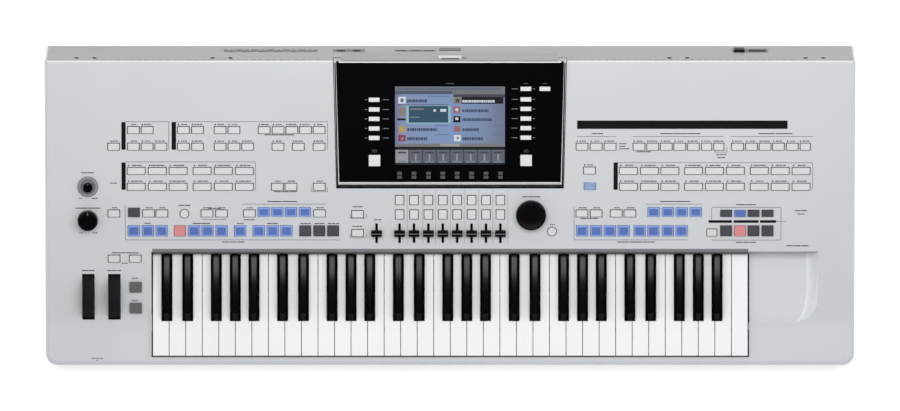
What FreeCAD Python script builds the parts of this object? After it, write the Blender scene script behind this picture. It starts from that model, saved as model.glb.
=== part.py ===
import FreeCAD, Part
import math
import os
import re
from types import SimpleNamespace

import Sketcher

# Arranger keyboard with a tilting display, five octaves of keys and a sloping control panel.
# Frame: origin under the middle of the case on the surface it stands on, +X to the player's right,
# +Y to the back, +Z up. Lengths are millimetres, angles are degrees.

SIZES = (
    # Case
    ("octave_count", 5),
    ("key_pitch", 23.3),
    ("left_cheek", 151.0),
    ("right_cheek", 150.2),
    ("panel_slope_angle", 11.37),
    ("middle_bank_depth", 90.765),
    ("foot_height", 8.0),
    ("foot_radius", 11.0),
    ("foot_inset", 45.0),
    ("front_height", 64.0),
    ("front_deck", 60.0),
    ("rear_lean", 22.0),
    ("split_height", 30.0),
    ("wall", 3.0),
    ("corner_radius", 17.0),
    ("edge_radius", 6.0),
    ("deck_blend_radius", 160.0),
    # Fits
    ("fit", 0.2),
    ("rear_seam", 1.2),
    ("play", 0.6),
    ("running_play", 0.05),
    ("overrun", 2.0),
    # Keys
    ("key_gap", 1.0),
    ("key_top", 72.0),
    ("key_height", 20.0),
    ("key_skin", 2.2),
    ("key_inset", 13.4),
    ("white_length", 145.6),
    ("key_tuck", 5.0),
    ("sharp_length", 93.0),
    ("sharp_width", 13.6),
    ("sharp_top_width", 10.2),
    ("sharp_rise", 11.0),
    ("sharp_nose", 9.5),
    ("sharp_back", 3.0),
    ("sharp_shift", 3.2),
    ("tail_width", 10.0),
    ("tail_height", 12.0),
    ("pivot_behind", 68.0),
    ("pivot_below", 14.0),
    ("pivot_radius", 2.5),
    # Key bed
    ("bed_below", 36.0),
    ("bed_plate", 2.0),
    ("bed_rib", 2.0),
    ("guide_width", 6.0),
    ("guide_length", 3.0),
    ("guide_rise", 20.0),
    ("felt_height", 5.5),
    ("felt_length", 8.0),
    ("felt_clearance", 1.8),
    ("back_felt_length", 3.0),
    ("board_thickness", 1.6),
    ("contact_board_length", 46.0),
    ("contact_height", 5.4),
    ("contact_length", 9.0),
    # Panel buttons and pads
    ("small_button_width", 15.6),
    ("small_button_depth", 9.2),
    ("wide_button_width", 24.2),
    ("pad_width", 15.6),
    ("pad_depth", 14.6),
    ("low_pad_depth", 12.4),
    ("channel_button_width", 11.2),
    ("channel_button_depth", 12.4),
    ("channel_pitch", 20.27),
    ("round_button_radius", 5.8),
    ("button_proud", 2.2),
    ("button_skirt", 1.8),
    ("flange_lip", 1.0),
    ("flange_thickness", 1.2),
    ("panel_board_drop", 8.0),
    ("board_post_radius", 3.0),
    # Faders
    ("fader_slot_length", 27.0),
    ("fader_slot_width", 2.6),
    ("fader_cap_width", 15.0),
    ("fader_cap_length", 9.4),
    ("fader_cap_height", 8.0),
    ("fader_stem_length", 5.0),
    ("fader_stem_width", 1.4),
    ("fader_body_width", 9.0),
    ("fader_body_height", 8.0),
    # Knobs and dial
    ("volume_radius", 14.6),
    ("volume_height", 13.0),
    ("gain_radius", 7.0),
    ("gain_height", 11.0),
    ("gain_dish_radius", 14.6),
    ("gain_dish_rise", 1.2),
    ("dial_radius", 21.5),
    ("dial_height", 9.0),
    ("dimple_radius", 5.5),
    ("dimple_offset", 11.5),
    ("dimple_sink", 2.0),
    ("shaft_radius", 3.0),
    ("pot_radius", 8.5),
    ("pot_height", 9.0),
    # Wheels
    ("wheel_radius", 36.0),
    ("wheel_width", 16.4),
    ("wheel_sink", 20.0),
    ("axle_radius", 3.0),
    ("holder_plate", 4.0),
    # Display
    ("display_front_width", 318.0),
    ("display_rear_width", 327.0),
    ("display_depth", 179.0),
    ("display_thickness", 22.0),
    ("display_proud", 1.6),
    ("display_side_gap", 1.2),
    ("display_front_gap", 3.6),
    ("display_wall", 6.0),
    ("display_floor", 2.5),
    ("bezel_thickness", 3.5),
    ("trim_width", 3.2),
    ("well_clearance", 5.0),
    ("hinge_in", 6.4),
    ("hinge_below", 5.4),
    ("hinge_radius", 1.5),
    ("hinge_block", 6.0),
    ("screen_width", 155.0),
    ("screen_height", 111.5),
    ("screen_border", 5.0),
    ("screen_thickness", 8.0),
    ("soft_key_width", 15.0),
    ("soft_key_depth", 6.0),
    ("soft_square", 16.0),
    ("soft_key_proud", 1.0),
    ("back_lip_inset", 11.0),
    ("back_lip_reach", 8.0),
    ("lever_width", 33.0),
    ("lever_depth", 5.0),
    ("lever_height", 5.0),
    ("lever_travel", 6.0),
    # Drop tray beside the keys
    ("tray_width", 98.0),
    ("tray_floor_drop", 2.0),
    ("tray_corner_radius", 34.0),
    # Rear and front sockets
    ("jack_pitch", 22.0),
    ("jack_flange", 20.0),
    ("jack_body", 16.0),
    ("jack_depth", 24.0),
    ("jack_bore_radius", 3.2),
    ("jack_rise", 34.0),
    ("din_flange", 22.0),
    ("din_depth", 12.0),
    ("din_bore_radius", 6.7),
    ("port_width", 16.0),
    ("port_height", 8.0),
    ("port_depth", 18.0),
    ("port_rim", 1.5),
    ("stick_port_width", 13.4),
    ("stick_port_height", 6.0),
    ("inlet_width", 30.0),
    ("inlet_height", 22.0),
    ("inlet_depth", 24.0),
    ("inlet_rim", 3.0),
    ("blade_width", 2.0),
    ("blade_length", 8.0),
    ("rocker_width", 14.0),
    ("rocker_height", 20.0),
    ("rocker_depth", 14.0),
    ("rocker_proud", 3.0),
    ("rocker_pin_radius", 1.5),
    ("rocker_pin_sink", 4.0),
    # Accessory bracket holes and vents in the rear panel
    ("bracket_hole_radius", 2.1),
    ("bracket_boss_radius", 5.0),
    ("bracket_boss_length", 8.0),
    ("bracket_below_top", 22.0),
    ("bracket_pair_pitch", 25.0),
    ("vent_pitch", 10.0),
    ("vent_width", 6.0),
    ("vent_height", 2.4),
    ("vent_below_top", 10.0),
    # Inside boards and fasteners
    ("board_standoff", 6.0),
    ("standoff_radius", 4.0),
    ("main_board_width", 420.0),
    ("main_board_depth", 110.0),
    ("supply_width", 190.0),
    ("supply_depth", 90.0),
    ("supply_height", 34.0),
    ("screw_radius", 2.0),
    ("screw_head_radius", 4.0),
    ("screw_head_height", 2.0),
    ("screw_length", 16.0),
)

# Sizes that follow from those above: the case is as deep as the keys, the middle bank and the display need
BEFORE_PANEL = "(key_inset + white_length + key_gap)"
DERIVED = (
    ("panel_slant", "middle_bank_depth + display_front_gap + display_depth"),
    ("case_depth", f"{BEFORE_PANEL} + panel_slant * cos(panel_slope_angle) + rear_lean"),
    ("case_height", "front_height + (case_depth - rear_lean - front_deck) * tan(panel_slope_angle)"),
    ("panel_front_height", f"front_height + ({BEFORE_PANEL} - front_deck) * tan(panel_slope_angle)"),
    ("back_felt_height", "(panel_front_height - key_top - felt_clearance) / cos(panel_slope_angle) - wall"),
    ("display_widest", "max(display_front_width; display_rear_width)"),
    ("pin_way", "(display_widest - display_front_width) / 2 + display_side_gap + wall + fit"),
    ("hinge_pin_length", "pin_way + hinge_block - flange_lip"),
    ("back_lip_width", "display_rear_width - 2 * back_lip_inset"),
)

doc = FreeCAD.newDocument("ArrangerKeyboard")
sheet = doc.addObject("Spreadsheet::Sheet", "Sizes")
for row, (alias, number) in enumerate(SIZES, start=1):
    sheet.set(f"A{row}", alias)
    sheet.set(f"B{row}", str(number))
    sheet.setAlias(f"B{row}", alias)
for row, (alias, words) in enumerate(DERIVED, start=len(SIZES) + 1):
    sheet.set(f"A{row}", alias)
    sheet.set(f"B{row}", f"={words}")
    sheet.setAlias(f"B{row}", alias)
    doc.recompute()
doc.recompute()

ALIASES = [alias for alias, _ in SIZES + DERIVED]
s = SimpleNamespace(**{alias: float(sheet.get(alias)) for alias in ALIASES})


def expression(words):
    """A sum of named sizes, written for the expression engine."""
    return re.sub(r"[a-z_]+", lambda m: f"Sizes.{m.group(0)}" if m.group(0) in ALIASES else m.group(0), words)


def value(words):
    """The number that a sum of named sizes comes to now."""
    return float(sheet.evalExpression(expression(words)))


# Where the main planes and edges of the case lie
OCTAVE_WHITES = 7
OCTAVE_KEYS = 12
white_count = int(s.octave_count) * OCTAVE_WHITES + 1
WHITE_COUNT = f"(octave_count * {OCTAVE_WHITES} + 1)"
KEYBOARD_WIDTH = f"({WHITE_COUNT} * key_pitch)"
CASE_WIDTH = f"(left_cheek + {KEYBOARD_WIDTH} + right_cheek)"

keyboard_width = value(KEYBOARD_WIDTH)
case_width = value(CASE_WIDTH)
left_side = -case_width / 2
right_side = case_width / 2
key_left = left_side + s.left_cheek
key_right = key_left + keyboard_width
front = -s.case_depth / 2
back = s.case_depth / 2
key_front = front + s.key_inset
panel_front = key_front + s.white_length + s.key_gap
deck_break = front + s.front_deck
top_rear = back - s.rear_lean
slope = math.degrees(math.atan2(s.case_height - s.front_height, top_rear - deck_break))
slope_sin = math.sin(math.radians(slope))
slope_cos = math.cos(math.radians(slope))
lean = math.degrees(math.atan2(s.rear_lean, s.case_height - s.split_height))
lean_sin = math.sin(math.radians(lean))
lean_cos = math.cos(math.radians(lean))
panel_length = math.hypot(s.case_height - s.front_height, top_rear - deck_break)
rear_length = math.hypot(s.rear_lean, s.case_height - s.split_height)
floor_top = s.foot_height + s.wall

RIGHT = FreeCAD.Vector(1, 0, 0)
UP = FreeCAD.Vector(0, 0, 1)


def place(x, y, z, axis=UP, angle=0.0):
    """A placement at a point, turned about an axis."""
    return FreeCAD.Placement(FreeCAD.Vector(x, y, z), FreeCAD.Rotation(axis, angle))


# Panel frame: u to the right, v up the slope from the deck's break, n out of the panel
PANEL = place(0, deck_break, s.front_height, RIGHT, slope)
# Rear frame: u to the right, v up the rear panel from its foot, n into the case
REAR = place(0, back, s.split_height, RIGHT, 90 + lean)
FLAT = place(0, 0, 0)


def panel_distance(y):
    """How far up the slope a point of the panel's surface lies, from its Y."""
    return (y - deck_break) / slope_cos


# Pixel columns and rows of the photograph, 900 by 411, that the panel's layout is read from
LEFT_SIDE_PX = 45.1
RIGHT_SIDE_PX = 854.9
DISPLAY_LEFT_PX = 333.9
DISPLAY_RIGHT_PX = 566.1
KEYS_LEFT_PX = 152.38
PANEL_REAR_PX = 61.2
PANEL_FRONT_PX = 250.5
DISPLAY_FRONT_PX = 185.9
FRONT_PX = 365.2

display_front = panel_length - s.display_depth
display_half = s.display_widest / 2


def left_u(px):
    """A column of the left bank, between the case's side and the display."""
    share = (px - LEFT_SIDE_PX) / (DISPLAY_LEFT_PX - LEFT_SIDE_PX)
    return left_side + share * (-display_half - left_side)


def cheek_u(px):
    """A column of the left cheek, between the case's side and the keys."""
    share = (px - LEFT_SIDE_PX) / (KEYS_LEFT_PX - LEFT_SIDE_PX)
    return left_side + share * s.left_cheek


def right_u(px):
    """A column of the right bank, between the display and the case's side."""
    share = (px - DISPLAY_RIGHT_PX) / (RIGHT_SIDE_PX - DISPLAY_RIGHT_PX)
    return display_half + share * (right_side - display_half)


def bank_v(px):
    """A row of the side banks, between the keys and the panel's back edge."""
    share = (PANEL_FRONT_PX - px) / (PANEL_FRONT_PX - PANEL_REAR_PX)
    start = panel_distance(panel_front)
    return start + share * (panel_length - start)


def middle_v(px):
    """A row of the middle bank, between the keys and the display."""
    share = (PANEL_FRONT_PX - px) / (PANEL_FRONT_PX - DISPLAY_FRONT_PX)
    start = panel_distance(panel_front)
    return start + share * (display_front - s.display_front_gap - start)


def cheek_y(px):
    """A row of the cheeks, between the case's front and the panel's front edge."""
    share = (FRONT_PX - px) / (FRONT_PX - PANEL_FRONT_PX)
    return front + share * (panel_front - front)


def screen_v(px):
    """A row of the display's face, between its front and back edges."""
    share = (DISPLAY_FRONT_PX - px) / (DISPLAY_FRONT_PX - PANEL_REAR_PX)
    return display_front + share * s.display_depth


def screen_u(px):
    """A column of the display's face, between its two sides."""
    share = (px - DISPLAY_LEFT_PX) / (DISPLAY_RIGHT_PX - DISPLAY_LEFT_PX)
    return display_half * (2 * share - 1)


def bind(thing, **sizes):
    """Ties a feature's sizes to the sheet."""
    for name, words in sizes.items():
        thing.setExpression(name, expression(words))
    return thing


def block(name, length, width, height, at, frame=FLAT):
    """A box bound to named sizes, with its lowest corner at a point of a frame."""
    made = bind(doc.addObject("Part::Box", name), Length=length, Width=width, Height=height)
    made.Placement = frame.multiply(place(*at))
    return made


def mid_block(name, length, width, height, at, frame=FLAT):
    """A box whose footprint is centred on a point, standing on that point's height."""
    x, y, z = at
    return block(name, length, width, height, (x - value(length) / 2, y - value(width) / 2, z), frame)


def rod(name, radius, height, at, frame=FLAT, axis=UP, angle=0.0):
    """A cylinder bound to named sizes, standing on a point of a frame along the turned Z axis."""
    made = bind(doc.addObject("Part::Cylinder", name), Radius=radius, Height=height)
    made.Placement = frame.multiply(place(*at, axis, angle))
    return made


def cross_rod(name, radius, length, at, frame=FLAT):
    """A cylinder that runs to the right from a point."""
    return rod(name, radius, length, at, frame, FreeCAD.Vector(0, 1, 0), 90)


def fuse(name, shapes):
    """Several solids that touch, made one."""
    made = doc.addObject("Part::MultiFuse", name)
    made.Shapes = shapes
    made.Refine = True
    return made


def group(name, shapes):
    """Separate solids that share one node."""
    made = doc.addObject("Part::Compound", name)
    made.Links = shapes
    return made


def cut(name, base, tools):
    """A solid with a list of tools taken out of it."""
    made = doc.addObject("Part::Cut", name)
    made.Base = base
    made.Tool = tools[0] if len(tools) == 1 else group(f"{name}_tools", tools)
    return made


NODES = {}


def node(label, thing):
    """Names a finished sub-part."""
    thing.Label = label
    NODES[label] = thing
    return thing


def plane_of(body, role):
    """One of a body's own origin planes."""
    return next(f for f in body.Origin.OriginFeatures if f.Role == role)


def polygon(body, name, role, corners):
    """A closed outline on a body's own plane, with each corner's two distances bound to the sheet."""
    sketch = body.newObject("Sketcher::SketchObject", name)
    sketch.AttachmentSupport = (plane_of(body, role), [""])
    sketch.MapMode = "FlatFace"
    points = [FreeCAD.Vector(value(a), value(b), 0) for a, b in corners]
    count = len(points)
    for i in range(count):
        sketch.addGeometry(Part.LineSegment(points[i], points[(i + 1) % count]))
    for i in range(count):
        sketch.addConstraint(Sketcher.Constraint("Coincident", i, 2, (i + 1) % count, 1))
    for i, words in enumerate(corners):
        for kind, text, number in zip(("DistanceX", "DistanceY"), words, points[i]):
            at = sketch.addConstraint(Sketcher.Constraint(kind, -1, 1, i, 1, number))
            sketch.setExpression(f"Constraints[{at}]", expression(text))
    return sketch


def prism(name, role, corners, length, symmetric=False):
    """A body padded from an outline whose corners are named sizes."""
    body = doc.addObject("PartDesign::Body", name)
    pad = body.newObject("PartDesign::Pad", f"{name}_pad")
    pad.Profile = polygon(body, f"{name}_outline", role, corners)
    pad.SideType = "Symmetric" if symmetric else "One side"
    bind(pad, Length=length)
    doc.recompute()
    return body, pad


def round_edges(body, feature, radius, wanted):
    """A fillet on the edges that a test picks out of a feature."""
    edges = [f"Edge{i}" for i, e in enumerate(feature.Shape.Edges, start=1) if wanted(e.BoundBox)]
    fillet = body.newObject("PartDesign::Fillet", f"{body.Name}_{radius}_{len(body.Group)}")
    fillet.Base = (feature, edges)
    bind(fillet, Radius=radius)
    body.Tip = fillet
    doc.recompute()
    return fillet


# Case: the sloping top shell, the floor tray and the leaning rear panel
RISE = "(case_height - front_height)"
RUN = "(case_depth - rear_lean - front_deck)"
PANEL_LENGTH = f"sqrt({RISE} ^ 2 + {RUN} ^ 2)"
REAR_LENGTH = "sqrt(rear_lean ^ 2 + (case_height - split_height) ^ 2)"
KEY_LEFT = f"(left_cheek - {CASE_WIDTH} / 2)"
KEY_RIGHT = f"({CASE_WIDTH} / 2 - right_cheek)"
PANEL_FRONT = "(key_inset + white_length + key_gap - case_depth / 2)"
DECK_BREAK = "(front_deck - case_depth / 2)"
INNER_BREAK = f"({DECK_BREAK} + wall * tan(atan({RISE} / {RUN}) / 2))"
WELL_DEPTH = "(display_thickness + well_clearance)"
PLATE_CUT = "(wall + 2 * overrun)"
MARGIN = 0.4


def near(a, b):
    """Whether two distances are the same edge's."""
    return abs(a - b) < MARGIN


def upright_front(b):
    """A shell's two upright corners at the front."""
    return b.YMax < front + s.corner_radius and b.ZLength > s.wall and b.YLength < MARGIN


def deck_line(b):
    """The long line where the deck turns into the slope."""
    return near(b.YMin, deck_break) and b.YLength < MARGIN and b.XLength > case_width / 2


def outer_rim(b):
    """The top edges along the two sides, round the corners and along the front."""
    at_side = b.XMax < left_side + s.corner_radius + MARGIN or b.XMin > right_side - s.corner_radius - MARGIN
    at_front = b.YMax < front + MARGIN
    return b.ZMin > s.front_height - MARGIN and (at_side or at_front)


shell_body, shell_pad = prism("shell", "YZ_Plane", (
    ("-case_depth / 2", "split_height"),
    ("-case_depth / 2", "front_height"),
    (DECK_BREAK, "front_height"),
    ("case_depth / 2 - rear_lean", "case_height"),
    ("case_depth / 2", "split_height"),
), CASE_WIDTH, symmetric=True)
shell_corners = round_edges(shell_body, shell_pad, "corner_radius", upright_front)
shell_blend = round_edges(shell_body, shell_corners, "deck_blend_radius", deck_line)
round_edges(shell_body, shell_blend, "edge_radius", outer_rim)

BEHIND = "(case_depth / 2 + overrun)"
cavity_body, cavity_pad = prism("cavity", "YZ_Plane", (
    ("wall - case_depth / 2", "split_height - overrun"),
    ("wall - case_depth / 2", "front_height - wall"),
    (INNER_BREAK, "front_height - wall"),
    (BEHIND, f"front_height - wall + ({BEHIND} - {INNER_BREAK}) * {RISE} / {RUN}"),
    (BEHIND, "split_height - overrun"),
), f"{CASE_WIDTH} - 2 * wall", symmetric=True)
round_edges(cavity_body, cavity_pad, "corner_radius - wall", upright_front)

# Walls that stay inside the hollow: beside and before the keys, round the display's well and the tray
BESIDE_KEYS = f"({BEFORE_PANEL} + wall)"
well_block = block(
    "well_block",
    "display_widest + 2 * (display_side_gap + wall)",
    "display_depth + display_front_gap + wall + overrun",
    f"{WELL_DEPTH} + wall",
    (-value("display_widest / 2 + display_side_gap + wall"),
     display_front - s.display_front_gap - s.wall, -value(f"{WELL_DEPTH} + wall")),
    PANEL)
left_key_wall = block("left_key_wall", "wall", BESIDE_KEYS, "case_height",
                      (key_left - s.key_gap - s.wall, front, s.split_height))
right_key_wall = block("right_key_wall", "wall", BESIDE_KEYS, "case_height",
                       (key_right + s.key_gap, front, s.split_height))
front_key_wall = block("front_key_wall", f"{KEYBOARD_WIDTH} + 2 * key_gap", "wall", "case_height",
                       (key_left - s.key_gap, key_front - s.key_gap - s.wall, s.split_height))


def tray_corner(b):
    """The tray's upright corner at its right front."""
    upright = b.YLength < MARGIN and b.ZLength > s.wall
    return upright and near(b.YMax, deck_break) and b.XMin > key_right + s.wall


def tray(name, left, right, rear, radius, drop):
    """The outline of the tray beside the keys, standing on its floor."""
    body, pad = prism(name, "XY_Plane", (
        (left, DECK_BREAK), (right, DECK_BREAK), (right, rear), (left, rear)), "case_height")
    round_edges(body, pad, radius, tray_corner)
    body.Placement = place(0, 0, s.front_height - value(drop))
    return body


tray_block = tray("tray_block", f"{KEY_RIGHT} + key_gap", f"{KEY_RIGHT} + key_gap + tray_width + wall",
                  f"{PANEL_FRONT} + wall", "tray_corner_radius", "tray_floor_drop + wall")
tray_pocket = tray("tray_pocket", f"{KEY_RIGHT}", f"{KEY_RIGHT} + key_gap + tray_width",
                   PANEL_FRONT, "tray_corner_radius", "tray_floor_drop")

# Posts under the panel that carry its circuit boards, by photograph column and row
LEFT_POSTS_PX = ((170, 138), (309, 138), (128, 199), (262, 199))
MIDDLE_POSTS_PX = ((389.5, 205), (511.5, 205))
RIGHT_POSTS_PX = ((625, 158), (725, 158), (600, 199), (810, 199))
post_places = [(left_u(x), bank_v(y)) for x, y in LEFT_POSTS_PX]
post_places += [(screen_u(x), middle_v(y)) for x, y in MIDDLE_POSTS_PX]
post_places += [(right_u(x), bank_v(y)) for x, y in RIGHT_POSTS_PX]
posts = [
    rod(f"post_{i}", "board_post_radius", "panel_board_drop", (u, v, -s.panel_board_drop), PANEL)
    for i, (u, v) in enumerate(post_places)
]

stays = (well_block, left_key_wall, right_key_wall, front_key_wall, tray_block, group("posts", posts))
hollow = cavity_body
for i, stay in enumerate(stays):
    hollow = cut(f"hollow_{i}", hollow, [stay])

DISPLAY = PANEL.multiply(place(0, display_front, 0))


def display_plan(name, inset, rear_inset, height, base, front_gap="0"):
    """A slab in the display's outline, wider at the back, drawn in by an inset."""
    half_front = f"(display_front_width / 2 - ({inset}))"
    half_rear = f"(display_rear_width / 2 - ({inset}))"
    body, _ = prism(name, "XY_Plane", (
        (f"-{half_front}", f"{inset} - ({front_gap})"), (half_front, f"{inset} - ({front_gap})"),
        (half_rear, f"display_depth - ({rear_inset})"), (f"-{half_rear}", f"display_depth - ({rear_inset})"),
    ), height)
    body.Placement = DISPLAY.multiply(place(0, 0, value(base)))
    return body


well = display_plan("well", "-display_side_gap", "-back_lip_reach - overrun",
                    f"{WELL_DEPTH} + 2 * overrun", f"-{WELL_DEPTH}", "display_front_gap - display_side_gap")
key_slot = block("key_slot", f"{KEYBOARD_WIDTH} + 2 * key_gap", "white_length + 2 * key_gap", "case_height",
                 (key_left - s.key_gap, key_front - s.key_gap, s.split_height - s.overrun))
rear_slab = block("rear_slab", f"{CASE_WIDTH} - 2 * wall", f"{REAR_LENGTH} - wall", "wall + fit + overrun",
                  (left_side + s.wall, 0, -s.overrun), REAR)

# Panel controls, by photograph column and row
ROW_A_PX = 129.6
ROW_B_PX = 146.1
ROW_C_PX = 170.2
ROW_D_PX = 185.9
ROW_E_PX = 212.4
ROW_F_PX = 229.8
LOW_PAD_PX = 211.0
LEFT_SMALL_PX = (
    (ROW_A_PX, (133.7, 147.5, 183.7, 197.8, 220.4, 234.2, 264.4, 278.3, 292.0, 305.6, 319.3)),
    (ROW_B_PX, (113.9, 133.7, 147.4, 161.1, 183.7, 197.8, 220.4, 234.2, 247.9, 278.2, 298.5, 319.3)),
    (ROW_D_PX, (277.5, 291.0, 319.3)),
    (ROW_E_PX, (113.9, 148.5, 161.9, 207.0, 221.5, 249.4, 319.5)),
)
CHEEK_SMALL_PX = ((113.9, 257.4), (135.1, 257.4))
LEFT_ROUND_PX = (184.4, 212.7)
BESIDE_FADER_PX = ((357.6, 212.1), (357.6, 231.4))
STYLE_PX = (136.4, 157.5, 178.3, 202.3, 223.5, 244.5)
STYLE_PADS_PX = (133.7, 147.9, 161.7, 194.1, 207.5, 221.6, 240.2, 258.7, 272.7, 286.5)
MULTI_PADS_PX = (263.8, 277.5, 291.0, 305.0)
LEFT_RED_PX = 179.9
LEFT_GREY_PX = (305.3, 319.3, 333.1)
LEFT_LOW_GREY_PX = (134.0, 211.5)
CHEEK_GREY_PX = ((135.5, 285.6), (135.5, 306.4))
RIGHT_SMALL_PX = (
    (ROW_B_PX, (581.9, 596.0, 609.9, 638.8, 652.5, 666.1, 679.6, 693.1, 737.3, 751.2, 764.8, 778.2, 792.0)),
    (169.8, (589.4,)),
    (ROW_E_PX, (581.9, 596.1, 616.2, 629.9)),
)
RIGHT_NARROW_PX = ((706.4, ROW_B_PX), (718.6, ROW_B_PX), (805.0, ROW_B_PX), (711.9, 231.4))
RIGHT_ROUND_PX = (552.0, 229.8)
VOICE_PX = (628.3, 649.3, 669.7, 693.5, 714.3, 735.2, 759.1, 780.0, 800.9)
MEMORY_PADS_PX = (582.0, 596.1, 609.9, 623.6, 639.6, 653.4, 667.8, 681.6)
HARMONY_PADS_PX = (653.5, 667.8, 681.6, 695.7)
LIGHT_PAD_PX = (589.7, 185.4)
PART_BLUE_PX = 740.0
PART_GREY_PX = (726.1, 753.5, 767.5)
CHANNEL_ROWS_PX = (197.7, 212.4)
CHANNEL_COUNT = 8
FADER_ROW_PX = 231.6
FIRST_FADER_PX = 376.6

holes = []
HOLE_FOOT = -s.wall - s.overrun


def button(name, width, depth, u, v):
    """A rectangular key cap with a lip under the panel, and its hole."""
    tall = "wall + button_skirt + button_proud"
    foot = -(s.wall + s.button_skirt)
    top = mid_block(f"{name}_cap", width, depth, tall, (u, v, foot), PANEL)
    lip = mid_block(f"{name}_lip", width, f"{depth} + 2 * flange_lip", "flange_thickness",
                    (u, v, foot), PANEL)
    holes.append(mid_block(f"{name}_hole", f"{width} + 2 * play", f"{depth} + 2 * play", PLATE_CUT,
                           (u, v, HOLE_FOOT), PANEL))
    return fuse(name, [top, lip])


def round_button(name, u, v):
    """A round key cap with a lip under the panel, and its hole."""
    foot = -(s.wall + s.button_skirt)
    top = rod(f"{name}_cap", "round_button_radius", "wall + button_skirt + button_proud", (u, v, foot), PANEL)
    lip = rod(f"{name}_lip", "round_button_radius + flange_lip", "flange_thickness", (u, v, foot), PANEL)
    holes.append(rod(f"{name}_hole", "round_button_radius + play", PLATE_CUT, (u, v, HOLE_FOOT), PANEL))
    return fuse(name, [top, lip])


SMALL = ("small_button_width", "small_button_depth")
NARROW_SHARE = 0.85
NARROW = (f"small_button_width * {NARROW_SHARE}", "small_button_depth")
WIDE = ("wide_button_width", "small_button_depth")
PAD = ("pad_width", "pad_depth")
LOW_PAD = ("pad_width", "low_pad_depth")
CHANNEL = ("channel_button_width", "channel_button_depth")

small_left = [(left_u(x), bank_v(y)) for y, columns in LEFT_SMALL_PX for x in columns]
small_left += [(cheek_u(x), bank_v(y)) for x, y in CHEEK_SMALL_PX]
small_left += [(screen_u(x), middle_v(y)) for x, y in BESIDE_FADER_PX]
left_small = [button(f"left_small_{i}", *SMALL, *at) for i, at in enumerate(small_left)]
left_small.append(round_button("left_round", left_u(LEFT_ROUND_PX[0]), bank_v(LEFT_ROUND_PX[1])))
node("left_small_buttons", group("left_small_buttons", left_small))

style = [(left_u(x), bank_v(y)) for y in (ROW_C_PX, ROW_D_PX) for x in STYLE_PX]
wide_left = [button(f"style_{i}", *WIDE, *at) for i, at in enumerate(style)]
node("style_buttons", group("style_buttons", wide_left))

voice = [(right_u(x), bank_v(y)) for y in (ROW_C_PX, ROW_D_PX) for x in VOICE_PX]
wide_right = [button(f"voice_{i}", *WIDE, *at) for i, at in enumerate(voice)]
node("voice_buttons", group("voice_buttons", wide_right))

small_right = [(right_u(x), bank_v(y)) for y, columns in RIGHT_SMALL_PX for x in columns]
right_small = [button(f"right_small_{i}", *SMALL, *at) for i, at in enumerate(small_right)]
right_small += [button(f"right_narrow_{i}", *NARROW, right_u(x), bank_v(y))
                for i, (x, y) in enumerate(RIGHT_NARROW_PX)]
right_small.append(round_button("right_round", screen_u(RIGHT_ROUND_PX[0]), middle_v(RIGHT_ROUND_PX[1])))
node("right_small_buttons", group("right_small_buttons", right_small))

blue_left = [button(f"style_pad_{i}", *PAD, left_u(x), bank_v(ROW_F_PX)) for i, x in enumerate(STYLE_PADS_PX)]
blue_left += [button(f"multi_pad_{i}", *LOW_PAD, left_u(x), bank_v(LOW_PAD_PX))
              for i, x in enumerate(MULTI_PADS_PX)]
node("style_pads", group("style_pads", blue_left))

blue_right = [button(f"memory_pad_{i}", *PAD, right_u(x), bank_v(ROW_F_PX))
              for i, x in enumerate(MEMORY_PADS_PX)]
blue_right += [button(f"harmony_pad_{i}", *LOW_PAD, right_u(x), bank_v(LOW_PAD_PX))
               for i, x in enumerate(HARMONY_PADS_PX)]
blue_right.append(button("light_pad", *SMALL, right_u(LIGHT_PAD_PX[0]), bank_v(LIGHT_PAD_PX[1])))
blue_right.append(button("part_blue", *SMALL, right_u(PART_BLUE_PX), bank_v(ROW_E_PX)))
node("memory_pads", group("memory_pads", blue_right))

grey = [button(f"left_grey_{i}", *PAD, left_u(x), bank_v(ROW_F_PX)) for i, x in enumerate(LEFT_GREY_PX)]
grey.append(button("left_low_grey", *LOW_PAD, left_u(LEFT_LOW_GREY_PX[0]), bank_v(LEFT_LOW_GREY_PX[1])))
grey += [button(f"cheek_grey_{i}", *LOW_PAD, cheek_u(x), bank_v(y)) for i, (x, y) in enumerate(CHEEK_GREY_PX)]
grey += [button(f"part_grey_{i}", *SMALL, right_u(x), bank_v(ROW_E_PX)) for i, x in enumerate(PART_GREY_PX)]
grey += [button(f"part_low_grey_{i}", *PAD, right_u(x), bank_v(ROW_F_PX)) for i, x in enumerate(PART_GREY_PX)]
node("grey_pads", group("grey_pads", grey))

red = [button("left_red", *PAD, left_u(LEFT_RED_PX), bank_v(ROW_F_PX)),
       button("part_red", *PAD, right_u(PART_BLUE_PX), bank_v(ROW_F_PX))]
node("red_pads", group("red_pads", red))

channel_u = [(i - (CHANNEL_COUNT - 1) / 2) * s.channel_pitch for i in range(CHANNEL_COUNT)]
channel_at = [(u, middle_v(y)) for y in CHANNEL_ROWS_PX for u in channel_u]
node("channel_buttons", group("channel_buttons", [
    button(f"channel_{i}", *CHANNEL, *at) for i, at in enumerate(channel_at)]))

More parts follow.
